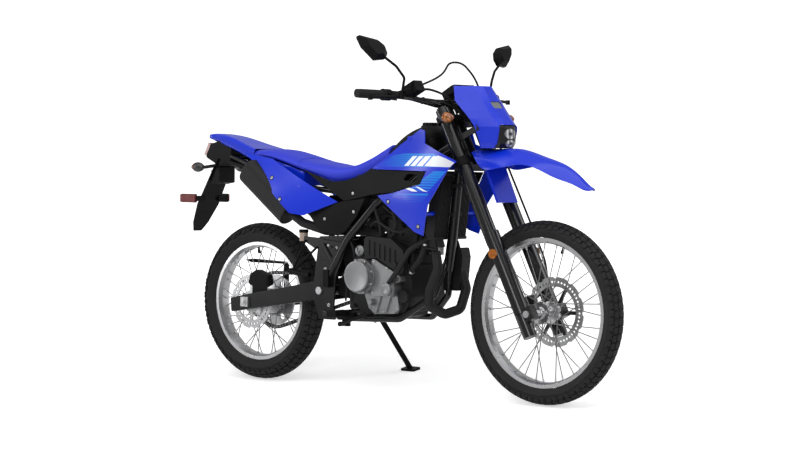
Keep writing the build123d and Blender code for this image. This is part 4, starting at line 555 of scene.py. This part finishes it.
# blocks within one pitch: corners as share of the pitch, and millimetres from the middle
block_tyre("front", tyre_curve(342.7, 40.7, 39, 279, 26), 36, 6.0, [
    [(0.03, -12), (0.24, -15), (0.46, -11), (0.44, 10), (0.24, 13), (0.03, 9)],
    [(0.53, -9), (0.74, -13), (0.95, -10), (0.97, 12), (0.74, 15), (0.54, 11)],
    [(0.14, 16), (0.34, 15), (0.52, 17), (0.54, 29), (0.34, 32), (0.14, 30)],
    [(0.61, 18), (0.84, 17), (1.05, 16), (1.06, 30), (0.83, 33), (0.62, 31)],
    [(0.02, 34), (0.22, 35), (0.42, 33), (0.39, 54), (0.22, 57), (0.05, 55)],
    [(0.50, 35), (0.72, 36), (0.93, 34), (0.90, 48), (0.72, 51), (0.54, 49)]])
block_tyre("rear", tyre_curve(319.7, 54.7, 50, 241, 32), 32, 8.0, [
    [(0.03, -15), (0.24, -19), (0.46, -14), (0.44, 13), (0.24, 17), (0.03, 12)],
    [(0.53, -12), (0.74, -17), (0.95, -13), (0.97, 15), (0.74, 19), (0.54, 14)],
    [(0.10, 20), (0.30, 19), (0.49, 21), (0.51, 38), (0.30, 42), (0.11, 39)],
    [(0.58, 22), (0.80, 21), (1.02, 20), (1.03, 39), (0.79, 42), (0.59, 40)],
    [(0.02, 45), (0.22, 46), (0.42, 44), (0.39, 70), (0.22, 74), (0.05, 71)],
    [(0.50, 45), (0.72, 47), (0.93, 45), (0.90, 62), (0.72, 66), (0.54, 63)]])

# ============================================================== CHAIN
# Roller chain, pitch 15.9 mm, pressed from steel plates on hardened pins.
# It runs round the rear sprocket and the small one on the gearbox.
CHAIN_Y, CHAIN_PITCH = 74.0, 15.875
(big_x, big_z, big_r), (small_x, small_z, small_r) = (0, 320, 112), (502, 400, 39)
reach = hypot(small_x - big_x, small_z - big_z)
slope = atan2(small_z - big_z, small_x - big_x)
splay = acos((big_r - small_r) / reach)
track = []
for x, z, radius, first, sweep, count in ((big_x, big_z, big_r, slope + splay, 2 * pi - 2 * splay, 200),
                                          (small_x, small_z, small_r, slope - splay, 2 * splay, 80)):
    for i in range(count):
        a = first + sweep * i / (count - 1)
        track.append(Vector((x + radius * cos(a), CHAIN_Y, z + radius * sin(a))))
track.append(track[0])
total = sum((b - a).length for a, b in zip(track, track[1:]))
count = 2 * round(total / CHAIN_PITCH / 2)
pins, k, here = [], 0, 0.0
for i in range(count):
    target = total * i / count
    while here + (track[k + 1] - track[k]).length < target:
        here += (track[k + 1] - track[k]).length
        k += 1
    pins.append(track[k].lerp(track[k + 1], (target - here) / max((track[k + 1] - track[k]).length, 1e-6)))
link_plates, rollers = bmesh.new(), bmesh.new()
for i, pin in enumerate(pins):
    after = pins[(i + 1) % count]
    along = (after - pin).normalized()
    up_way = Vector((0, 1, 0)).cross(along)
    out = 8.6 if i % 2 else 7.0
    outline = [end + along * sign * 6.4 * cos(radians(a)) + up_way * 6.4 * sign * sin(radians(a))
               for end, sign in ((pin, -1), (after, 1)) for a in (-100, -60, -20, 20, 60, 100)]
    for side in (-1, 1):
        faces = [[link_plates.verts.new(p + Vector((0, side * y, 0))) for p in outline] for y in (out, out + 1.5)]
        link_plates.faces.new(faces[0])
        link_plates.faces.new(faces[1])
        skin(link_plates, faces)
    lathe(rollers, pin - Vector((0, 10.6, 0)), (0, 1, 0),
          [(2.4, 0), (2.4, 5), (4.6, 5.2), (4.6, 16), (2.4, 16.2), (2.4, 21.2)], 8)
chain_steel = finish("chain_steel", [
    surface((0.06, 0.058, 0.055), (0.03, 0.029, 0.028), 0.01, 0.0006, 0.45, 0.15)], bump=0.1, Metallic=0.6)
coat(chain_steel, "chain")
piece("chain_plates", link_plates, "chassis", chain_steel, smooth=30)
piece("chain_rollers", rollers, "chassis", satin_steel)

# ============================================================ FORK, BARS
# Telescopic fork in cast yokes, and a tapered steel handlebar, all gloss
# black. Ribbed rubber grips; sleeved cables run from the levers to the head.
fork_black = finish("fork_black", [
    surface((0.003, 0.003, 0.0035), (0.006, 0.006, 0.0065), 0.08, 0.001, 0.2, 0.08),
    edge_wear_and_highlight_stage((0.08, 0.08, 0.08), 0.3)], bump=0.03, Specular_IOR_Level=0.45)
coat(fork_black, "fork_legs", "fork_guards", "handlebar")
coat(moulded_black, "yokes", "hand_controls", "instrument")
coat(rubber, "grips", "brake_hose")
STEM_FOOT, RAKE_COS, RAKE_SIN = 1533, 0.8910, 0.4540


def steer(ahead_by, left, along):
    """A point from the steering's own directions: ahead of the stem, to the left, up along it."""
    return Vector((STEM_FOOT + ahead_by * RAKE_COS - along * RAKE_SIN, left, ahead_by * RAKE_SIN + along * RAKE_COS))


ribs = bmesh.new()
for side in (-1, 1):
    inner, outer = steer(-53, side * 272, 1314), steer(-74, side * 418, 1328)
    way = (outer - inner).normalized()
    for k in range(20):
        lathe(ribs, inner + (outer - inner) * (0.24 + 0.036 * k), way,
              [(16.4, 0), (17.4, 0.8), (17.4, 2.4), (16.4, 3.2)])
piece("grip_ribs", ribs, "steering", rubber)
cables = bmesh.new()
for radius, points in (
        (4.5, ((24, -196, 1296), (44, -150, 1290), (56, -90, 1262), (50, -44, 1228), (40, -20, 1196))),
        (4, ((6, -214, 1270), (26, -160, 1258), (44, -100, 1238), (48, -50, 1212), (36, -26, 1192))),
        (4.5, ((20, 230, 1290), (44, 160, 1282), (58, 90, 1256), (50, 40, 1222), (40, 22, 1194)))):
    run(cables, radius, [steer(*point) for point in points])
piece("control_cables", cables, "steering", rubber, smooth=60)

# ========================================================== INSTRUMENT
# A black housing above the headlamp. Its flat dark screen lies under clear
# plastic and faces the rider.
screen_glass = finish("screen_glass", [
    surface((0.02, 0.024, 0.026), (0.03, 0.034, 0.036), 0.03, 0.002, 0.12, 0.03)], bump=0.01, Coat_Weight=0.5)
across, down, out_of = Vector((0, 1, 0)), Vector((-0.866, 0, -0.5)), Vector((-0.5, 0, 0.866))
lay = Matrix.Translation(Vector((1018, 0, 1150)) + out_of * 26.0)
lay = lay @ Matrix((across, down, out_of)).transposed().to_4x4()
screen = bmesh.new()
block(screen, (0, 0, 0.6), (116, 52, 1.2), lay)
piece("screen", screen, "steering", screen_glass, round_off=0.4)


# ============================================================= MIRRORS
# Black moulded shells on thin steel stems. The glass is silvered on the
# faces that look back at the rider.
def facing(tree, direction):
    """1 where the surface faces along a direction, 0 where it is side on, -1 where it faces away."""
    normal = step(tree, "NewGeometry").outputs["True Normal"]
    return step(tree, "VectorMath", [(0, normal), (1, tuple(direction))], "DOT_PRODUCT").outputs["Value"]


silvering, take, give = socket_group("silvered back", [
    ("Colour", "Color", (0.005, 0.005, 0.005, 1)), ("Roughness", "Float", 0.4),
    ("Glass Colour", "Color", (0.75, 0.78, 0.8, 1))], LOOK + [("Metallic", "Float")])
glass = fade(silvering, facing(silvering, forward), -0.9, -0.94)
pass_on(silvering, give, Colour=mix_colour(silvering, glass, take["Colour"], take["Glass Colour"]),
        Roughness=calc(silvering, "MULTIPLY_ADD", glass, -0.4, take["Roughness"]), Metallic=glass)
shell = surface((0.0025, 0.0025, 0.003), (0.005, 0.005, 0.0055), 0.05, 0.0009, 0.45, 0.1)
mirror_finish = finish("mirror_finish", [shell, (silvering, {})], bump=0.02, Specular_IOR_Level=0.08)
coat(mirror_finish, "mirrors")

# =============================================== INDICATORS, REAR LIGHTS
# Small black housings with amber or red lenses in front, each moulded with
# a pattern of cells inside. Round reflectors on the fork, red ones behind.
lens_part, take, give = socket_group("lens on shell", [
    ("Colour", "Color", (0.005, 0.005, 0.005, 1)), ("Roughness", "Float", 0.4),
    ("Lens Colour", "Color", (0.56, 0.18, 0.012, 1)), ("Deep Colour", "Color", (0.16, 0.04, 0.003, 1)),
    ("Lens Ahead Of", "Float", 0.0), ("Way", "Float", 1.0)], LOOK)
beyond = calc(lens_part, "SUBTRACT", measure(lens_part, forward), take["Lens Ahead Of"])
on_lens = fade(lens_part, calc(lens_part, "MULTIPLY", beyond, take["Way"]), -0.3, 0.3)
cells = texture(lens_part, "TexVoronoi", 110.0)
inner = mix_colour(lens_part, fade(lens_part, cells, 0.15, 0.6), take["Lens Colour"], take["Deep Colour"])
pass_on(lens_part, give, Colour=mix_colour(lens_part, on_lens, take["Colour"], inner),
        Roughness=calc(lens_part, "MULTIPLY_ADD", on_lens, -0.3, take["Roughness"]))


def lens_finish(name, ahead_of, way=1.0, coating=0.3, **colours):
    """Lens beyond one place along the bike, ahead of it or behind it, and black shell on the other side."""
    values = {"Lens Ahead Of": ahead_of, "Way": way}
    values.update({label.replace("_", " "): colour for label, colour in colours.items()})
    return finish(name, [shell, (lens_part, values)], bump=0.1, Coat_Weight=coating)


front_signal = lens_finish("front_signal", 1094.0)
rear_signal = lens_finish("rear_signal", -270.0, -1.0)
fork_signal = lens_finish("fork_signal", -500.0, coating=0.2,
                          Lens_Colour=(0.42, 0.13, 0.008), Deep_Colour=(0.26, 0.07, 0.004))
rear_lamp = lens_finish("rear_lamp", -232.0, -1.0,
                        Lens_Colour=(0.32, 0.004, 0.004), Deep_Colour=(0.12, 0.001, 0.001))
red_lens = finish("red_lens", [surface((0.13, 0.002, 0.002), (0.09, 0.0015, 0.0015), 0.02, 0.004, 0.3, 0.05)],
                  bump=0.1, Specular_IOR_Level=0.2)
coat(front_signal, "front_indicators")
coat(rear_signal, "rear_indicators")
coat(fork_signal, "fork_reflectors")
coat(rear_lamp, "tail_lamp")
coat(red_lens, "rear_reflectors")

# ============================================================ HEADLAMP
# A black bezel behind a clear lens, with two bright bowls one above the
# other, the bulb's shield in the middle of each, and a small parking light.
lamp_face, take, give = socket_group("lamp face", [
    ("Colour", "Color", (0.005, 0.005, 0.005, 1)), ("Roughness", "Float", 0.4),
    ("Bright", "Color", (0.7, 0.71, 0.72, 1)), ("Middle", "Float", 990.0)], LOOK + [("Metallic", "Float")])
above = measure(lamp_face, upward)
side_way, high = measure(lamp_face, to_left), calc(lamp_face, "SUBTRACT", above, take["Middle"])
bowls_painted_shine = []
# the bowls are chrome reflectors; their shine, dark in the middle, brighter outwards and broken into bright and dark
# bands, is painted reflection
for middle, wide_r, tall_r in ((14.0, 34.0, 20.0), (-22.0, 30.0, 14.0)):
    u = calc(lamp_face, "DIVIDE", side_way, wide_r)
    v = calc(lamp_face, "DIVIDE", calc(lamp_face, "SUBTRACT", high, middle), tall_r)
    out = length(lamp_face, u, v)
    bowl_painted_gradient = calc(lamp_face, "MULTIPLY", fade(lamp_face, out, 1.0, 0.9), fade(lamp_face, out, 0.2, 0.55))
    painted_reflection_bands = calc(lamp_face, "SINE", calc(lamp_face, "MULTIPLY", u, 9.0))
    bowls_painted_shine.append(calc(lamp_face, "MULTIPLY", bowl_painted_gradient, fade(lamp_face, painted_reflection_bands, -1.4, 1.2)))
to_front = fade(lamp_face, facing(lamp_face, forward), 0.3, 0.5)
shine = calc(lamp_face, "MULTIPLY", calc(lamp_face, "MAXIMUM", *bowls_painted_shine), to_front)
parking = calc(lamp_face, "MULTIPLY", fade(lamp_face, above, 1084.0, 1088.0), to_front)
parking = calc(lamp_face, "MULTIPLY", parking, fade(lamp_face, measure(lamp_face, forward), 1120.0, 1125.0))
colour = mix_colour(lamp_face, shine, take["Colour"], take["Bright"])
pass_on(lamp_face, give, Colour=mix_colour(lamp_face, parking, colour, (0.16, 0.17, 0.18, 1)),
        Roughness=take["Roughness"], Metallic=shine)
headlamp_glass = finish("headlamp_glass", [shell, (lamp_face, {})], bump=0.02, Coat_Weight=0.15, Coat_Roughness=0.05,
                        Specular_IOR_Level=0.3)
coat(headlamp_glass, "headlamp")


# ========================================================== FUEL TANK
# Steel tank between the frame spars, under a black moulded cover whose
# back slopes down to meet the seat. Screw cap on top.
def through(stations, x):
    """Smooth values between stations, the first value of each being its place."""
    k = max(i for i in range(len(stations) - 1) if stations[i][0] <= x) if x > stations[0][0] else 0
    before, a, b, after = (stations[max(k - 1, 0)], stations[k], stations[k + 1],
                           stations[min(k + 2, len(stations) - 1)])
    t = (x - a[0]) / (b[0] - a[0])
    values = []
    for i in range(1, len(a)):
        ta = (b[i] - before[i]) / max(b[0] - before[0], 1) * (b[0] - a[0])
        tb = (after[i] - a[i]) / max(after[0] - a[0], 1) * (b[0] - a[0])
        values.append((2 * t ** 3 - 3 * t ** 2 + 1) * a[i] + (t ** 3 - 2 * t ** 2 + t) * ta
                      + (-2 * t ** 3 + 3 * t ** 2) * b[i] + (t ** 3 - t ** 2) * tb)
    return values


def squared(value, power):
    """Pushes a sine or cosine outwards, which squares a round section off; a lower power is squarer."""
    return abs(value) ** power * (1 if value >= 0 else -1)


# along the bike, half width, underside, top
TANK_STATIONS = [(640, 44, 806, 888), (715, 56, 812, 958), (775, 70, 842, 1000), (840, 82, 866, 1028),
                 (895, 84, 896, 1038), (938, 66, 930, 1012), (952, 46, 944, 990)]
bm = bmesh.new()
rings = []
for i in range(40):
    x = 640 + 312 * i / 39
    half, low, high = through(TANK_STATIONS, x)
    middle, rise = (low + high) / 2, high - low
    rings.append([bm.verts.new((x, squared(cos(a), 0.75) * half, middle + squared(sin(a), 0.9) * rise / 2))
                  for a in (2 * pi * j / 32 for j in range(32))])
skin(bm, rings)
bm.faces.new(rings[0])
bm.faces.new(rings[-1])
lathe(bm, (872, 0, 1028), (0, 0, 1), [(36, -8), (36, 6), (31, 8), (30, 17), (26, 19.5), (0.2, 19.5)], 32)
tank_cover = piece("tank_cover", bm, "chassis", moulded_black, smooth=50)
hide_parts("tank")

# ================================================================ SEAT
# Foam on a plastic base under a stitched vinyl cover in two panels, with
# a sewn seam that arches over behind the rider.
# along the bike, half width, underside, top
SEAT_STATIONS = [(-6, 86, 906, 936), (40, 102, 902, 942), (120, 114, 896, 941), (200, 118, 880, 925),
                 (300, 120, 852, 901), (390, 118, 824, 888), (465, 109, 800, 879), (540, 93, 806, 884),
                 (610, 72, 828, 912), (665, 58, 854, 942), (712, 48, 882, 969)]
SEAT_EDGE, SEAT_WRAP = -38, 256    # degrees: where the right lower edge lies, and how far round the cover goes
SEAM_WIDTH, SEAM_DEPTH = 9.0, 2.6


def seat_point(x, turn, pull=0.0):
    """A point on the cover: turn goes from the right lower edge over the top to the left one."""
    half, low, high = through(SEAT_STATIONS, x)
    a = radians(SEAT_EDGE + turn * SEAT_WRAP)
    wide, tall = squared(cos(a), 0.55), squared(sin(a), 0.72)
    fall = 5.0 * (wide ** 2) if sin(a) > 0 else 0
    return Vector((x, -wide * (half - 1.0 - pull), (low + high) / 2 + tall * ((high - low) / 2 - 1.5 - pull) - fall))


def seam_x(turn):
    """Where the seam crosses: low on the flanks ahead, arching back over the top."""
    side = abs(turn - 0.5) * 2
    return 312 - 40 * (1 - side) + 70 * max(side - 0.75, 0)


bm = bmesh.new()
rows = []
for x in [-5.5 + i * 7.2 for i in range(100)]:
    rows.append([])
    for turn in [i / 48 for i in range(49)]:
        near_seam = max(0.0, 1 - abs(x - seam_x(turn)) / SEAM_WIDTH)
        rows[-1].append(bm.verts.new(seat_point(x, turn, SEAM_DEPTH * near_seam ** 1.5)))
skin(bm, rows, closed=False)
for row in (rows[0], rows[-1]):
    bm.faces.new(row)
for a, b in zip(rows, rows[1:]):
    bm.faces.new((a[0], b[0], b[-1], a[-1]))
seat_vinyl = finish("seat_vinyl", [
    surface((0.008, 0.022, 0.5), (0.01, 0.026, 0.56), 0.12, 0.0016, 0.5, 0.1)], bump=0.3)
cover = piece("seat_cover", bm, "chassis", seat_vinyl, smooth=60, levels=1)
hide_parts("seat")
seam = bmesh.new()
for i in range(46):
    turn = 0.03 + 0.94 * i / 45
    for offset in (-4.0, 4.0):
        a, b = (seat_point(seam_x(t) + offset, t, -0.2) for t in (turn, turn + 0.012))
        stitch = (b - a).length
        lathe(seam, a, b - a, [(0.3, 0), (0.7, 0.6), (0.7, stitch - 0.6), (0.3, stitch)], 6)
seat_thread = finish("seat_thread", [
    surface((0.02, 0.05, 0.55), (0.03, 0.06, 0.6), 0.01, 0.0005, 0.6, 0.1)], bump=0.2)
piece("seat_stitching", seam, "chassis", seat_thread)

# ======================================================== BODY PANELS
# Moulded plastic: blue fenders, mask and rear panels, and black side covers.
# Button-head screws in black collars hold them to the frame.
blue_surface = surface((0.002, 0.022, 0.52), (0.002, 0.027, 0.58), 0.2, 0.0007, 0.26, 0.06)
BLUE_GLOSS = {"bump": 0.02, "Coat_Weight": 0.1, "Coat_Roughness": 0.1, "Specular_IOR_Level": 0.35}
blue_plastic = finish("blue_plastic", [blue_surface, edge_wear_and_highlight_stage((0.06, 0.1, 0.8), 0.2)], **BLUE_GLOSS)
coat(blue_plastic, "rear_panels", "tail_panel", "front_fender", "headlight_mask")
coat(moulded_black, "side_covers", "lower_covers")
PANELS = ("side_covers", "shrouds", "rear_panels", "lower_covers")


def on_panel(x, z, side):
    """The outermost point of the panels on one side at x and z, and the way that they face there."""
    best = None
    start = upright @ Vector((x, side * 420, z))
    aim = (upright.to_3x3() @ Vector((0, -side, 0))).normalized()
    for name in PANELS:
        there = node[name].matrix_world.inverted()
        hit, place, normal, _ = node[name].ray_cast(there @ start, there.to_3x3() @ aim)
        if hit:
            found = upright.inverted() @ (node[name].matrix_world @ place)
            way = (upright.to_3x3().inverted() @ (node[name].matrix_world.to_3x3() @ normal)).normalized()
            if best is None or abs(found.y) > abs(best[0].y):
                best = found, way
    return best


bpy.context.view_layer.update()
screws, collars = bmesh.new(), bmesh.new()
for side in (-1, 1):
    for x, z in ((600, 771), (603, 699), (800, 743), (958, 652), (250, 742), (186, 826), (452, 668)):
        found = on_panel(x, z, side)
        if found:
            lathe(collars, *found, [(9.5, -1.5), (9.5, 0.5), (7.8, 1.2), (7.6, 0.3), (0.1, 0.3)], 20)
            lathe(screws, *found,
                  [(6.2, -1.0), (6.2, 1.0), (5.0, 2.6), (3.0, 3.2), (2.6, 3.2), (2.4, 1.6), (0.1, 1.6)], 16)
piece("panel_screws", screws, "chassis", zinc)
piece("panel_collars", collars, "chassis", moulded_black)

# ============================================================= SHROUDS
# Blue moulded panels beside the tank. A printed film on each holds fine
# lines that fade from cyan to blue, a white wedge and slanted white bars.
film, take, give = socket_group("shroud film", [
    ("Colour", "Color", (0.002, 0.022, 0.52, 1)), ("Line Colour", "Color", (0.0, 0.2, 0.68, 1)),
    ("White Colour", "Color", (0.8, 0.85, 0.86, 1)), ("Roughness", "Float", 0.26)], LOOK)
ahead, above = measure(film, forward), measure(film, upward)


def both(first, *others):
    for other in others:
        first = calc(film, "MULTIPLY", first, other)
    return first


def either(first, *others):
    for other in others:
        first = calc(film, "MAXIMUM", first, other)
    return first


def inside(*points):
    """1 inside a convex outline of x and z, given in either direction round it."""
    area = sum(a[0] * b[1] - b[0] * a[1] for a, b in zip(points, points[1:] + points[:1]))
    points = points if area > 0 else points[::-1]
    nearest = None
    for (ax, az), (bx, bz) in zip(points, points[1:] + points[:1]):
        size = hypot(bx - ax, bz - az)
        nx, nz = -(bz - az) / size, (bx - ax) / size
        part = calc(film, "MULTIPLY_ADD", ahead, nx, -(ax * nx + az * nz))
        part = calc(film, "MULTIPLY_ADD", above, nz, part)
        nearest = part if nearest is None else calc(film, "MINIMUM", nearest, part)
    return fade(film, nearest, -0.25, 0.25)


def stripes(pitch, share, phase=0.0):
    """Level lines, each taking a share of the pitch."""
    wave = calc(film, "MODULO", calc(film, "ADD", above, phase), pitch)
    return fade(film, wave, pitch * share - 0.3, pitch * share + 0.3, 1.0, 0.0)


UPPER = (716, 878), (803, 922), (868, 928), (1029, 928), (1134, 896), (1114, 878)
LOWER = (1010, 862), (1098, 862), (1016, 786), (905, 786), (950, 812)
upper_lines = either(both(inside(*UPPER), stripes(7.5, 0.55), fade(film, ahead, 716, 900)),
                     both(inside(*UPPER), fade(film, above, 870, 930), fade(film, ahead, 700, 1000)))
lower_lines = either(both(inside(*LOWER), either(both(stripes(10.0, 0.5, 3.0), fade(film, above, 770, 800)),
                                                 fade(film, above, 800, 872))),
                     both(inside((826, 775), (1018, 778), (1012, 772), (830, 770)), fade(film, ahead, 820, 960)))
below = both(inside((880, 770), (1012, 772), (985, 742), (900, 742)), stripes(8.0, 0.45), fade(film, above, 735, 775))
lines = either(upper_lines, lower_lines, both(below, 0.5))
white = either(
    inside((1010, 880), (1052, 922), (1090, 911), (1134, 895), (1114, 878)),
    *(inside((start, 881), (start + 40, 918), (start + 40 + wide_bar, 919), (start + wide_bar, 881))
      for start, wide_bar in ((876, 26), (911, 26), (946, 32))),
    inside((988, 881), (1028, 919), (1052, 919), (1010, 881)),
    inside((900, 794), (914, 799), (942, 794), (962, 784), (934, 785)),
    inside((950, 804), (968, 802), (1013, 784), (987, 787)))
outer = fade(film, calc(film, "MULTIPLY", measure(film, to_left), facing(film, to_left)), 40.0, 60.0)
colour = mix_colour(film, both(lines, outer), take["Colour"], take["Line Colour"])
grey = mix_colour(film, fade(film, ahead, 1040, 1120), take["White Colour"], (0.6, 0.6, 0.66, 1))
pass_on(film, give, Colour=mix_colour(film, both(white, outer), colour, grey), Roughness=take["Roughness"])
shroud_plastic = finish("shroud_plastic", [blue_surface, (film, {})], **BLUE_GLOSS)
coat(shroud_plastic, "shrouds")

# ============================================================== STUDIO
# Plain pale floor and backdrop, soft lamps overhead and to both sides. The
# backdrop looks white, and is dimmer where it lights the bike.
world = bpy.data.worlds.new("studio")
bpy.context.scene.world = world
world.use_nodes = True
tree = world.node_tree
ray = step(tree, "LightPath").outputs
seen = calc(tree, "MAXIMUM", ray["Is Camera Ray"], ray["Is Transmission Ray"])
seen = calc(tree, "MAXIMUM", seen, calc(tree, "MULTIPLY", ray["Is Glossy Ray"], 0.2))
tree.nodes["Background"].inputs["Color"].default_value = (1, 1, 1, 1)
tree.links.new(fade(tree, seen, 0.0, 1.0, 0.3, 1.0), tree.nodes["Background"].inputs["Strength"])

# the floor is white where nothing shades it, and keeps the shadow near the wheels
bpy.ops.mesh.primitive_grid_add(x_subdivisions=2, y_subdivisions=2, size=60)
floor = bpy.context.object
floor.name = "floor"
floor.location.z = cad_box[0][2] - 0.0005
floor_paint = bpy.data.materials.new("floor_paint")
floor_paint.use_nodes = True
tree = floor_paint.node_tree
shader = tree.nodes["Principled BSDF"]
shader.inputs["Base Color"].default_value = (0.8, 0.8, 0.8, 1)
shader.inputs["Roughness"].default_value = 1.0
shader.inputs["Specular IOR Level"].default_value = 0.0
shader.inputs["Emission Color"].default_value = (1, 1, 1, 1)
away = step(tree, "VectorMath", [(0, step(tree, "TexCoord").outputs["Object"])], "LENGTH").outputs["Value"]
ray = step(tree, "LightPath").outputs
seen = calc(tree, "MULTIPLY_ADD", ray["Is Glossy Ray"], 0.4, ray["Is Camera Ray"])
seen = calc(tree, "MULTIPLY", seen, fade(tree, away, 1.3, 2.6, 0.52, 1.0))
tree.links.new(seen, shader.inputs["Emission Strength"])
floor.data.materials.append(floor_paint)


def lamp(name, place, width, height, power):
    """A soft rectangular lamp that looks at the middle of the engine."""
    light = bpy.data.lights.new(name, "AREA")
    light.shape, light.size, light.size_y, light.energy = "RECTANGLE", width, height, power
    made = bpy.data.objects.new(name, light)
    bpy.context.scene.collection.objects.link(made)
    made.location = place
    made.rotation_euler = (Vector((0, 0, 0.6)) - Vector(place)).to_track_quat("-Z", "Y").to_euler()


lamp("overhead", (0.6, -0.8, 4.2), 6.0, 4.5, 150)
lamp("front_right", (2.6, -3.8, 2.2), 1.0, 2.4, 55)
lamp("rear_right", (-3.2, -2.6, 2.0), 0.8, 2.4, 40)
lamp("front_left", (3.4, 2.6, 2.6), 2.0, 2.0, 45)

# the camera stands ahead of the bike, on its right, at the height of the seat
YAW, TILT, ROLL = radians(39.89), radians(-1.8), radians(0.51)
look = Vector((-sin(YAW) * cos(TILT), cos(YAW) * cos(TILT), sin(TILT)))
right = look.cross(Vector((0, 0, 1))).normalized()
top = right.cross(look)
right, top = right * cos(ROLL) + top * sin(ROLL), top * cos(ROLL) - right * sin(ROLL)
lens = bpy.data.cameras.new("camera")
lens.sensor_width, lens.lens, lens.clip_end = 36, 103.35, 100
camera = bpy.data.objects.new("camera", lens)
bpy.context.scene.collection.objects.link(camera)
place = Matrix((forward, to_left, upward)).transposed().to_4x4() @ Matrix((right, top, -look)).transposed().to_4x4()
place.translation = upright @ Vector((6459, -6861, 930))
camera.matrix_world = place
bpy.context.scene.camera = camera
bpy.context.scene.view_settings.view_transform = "Standard"
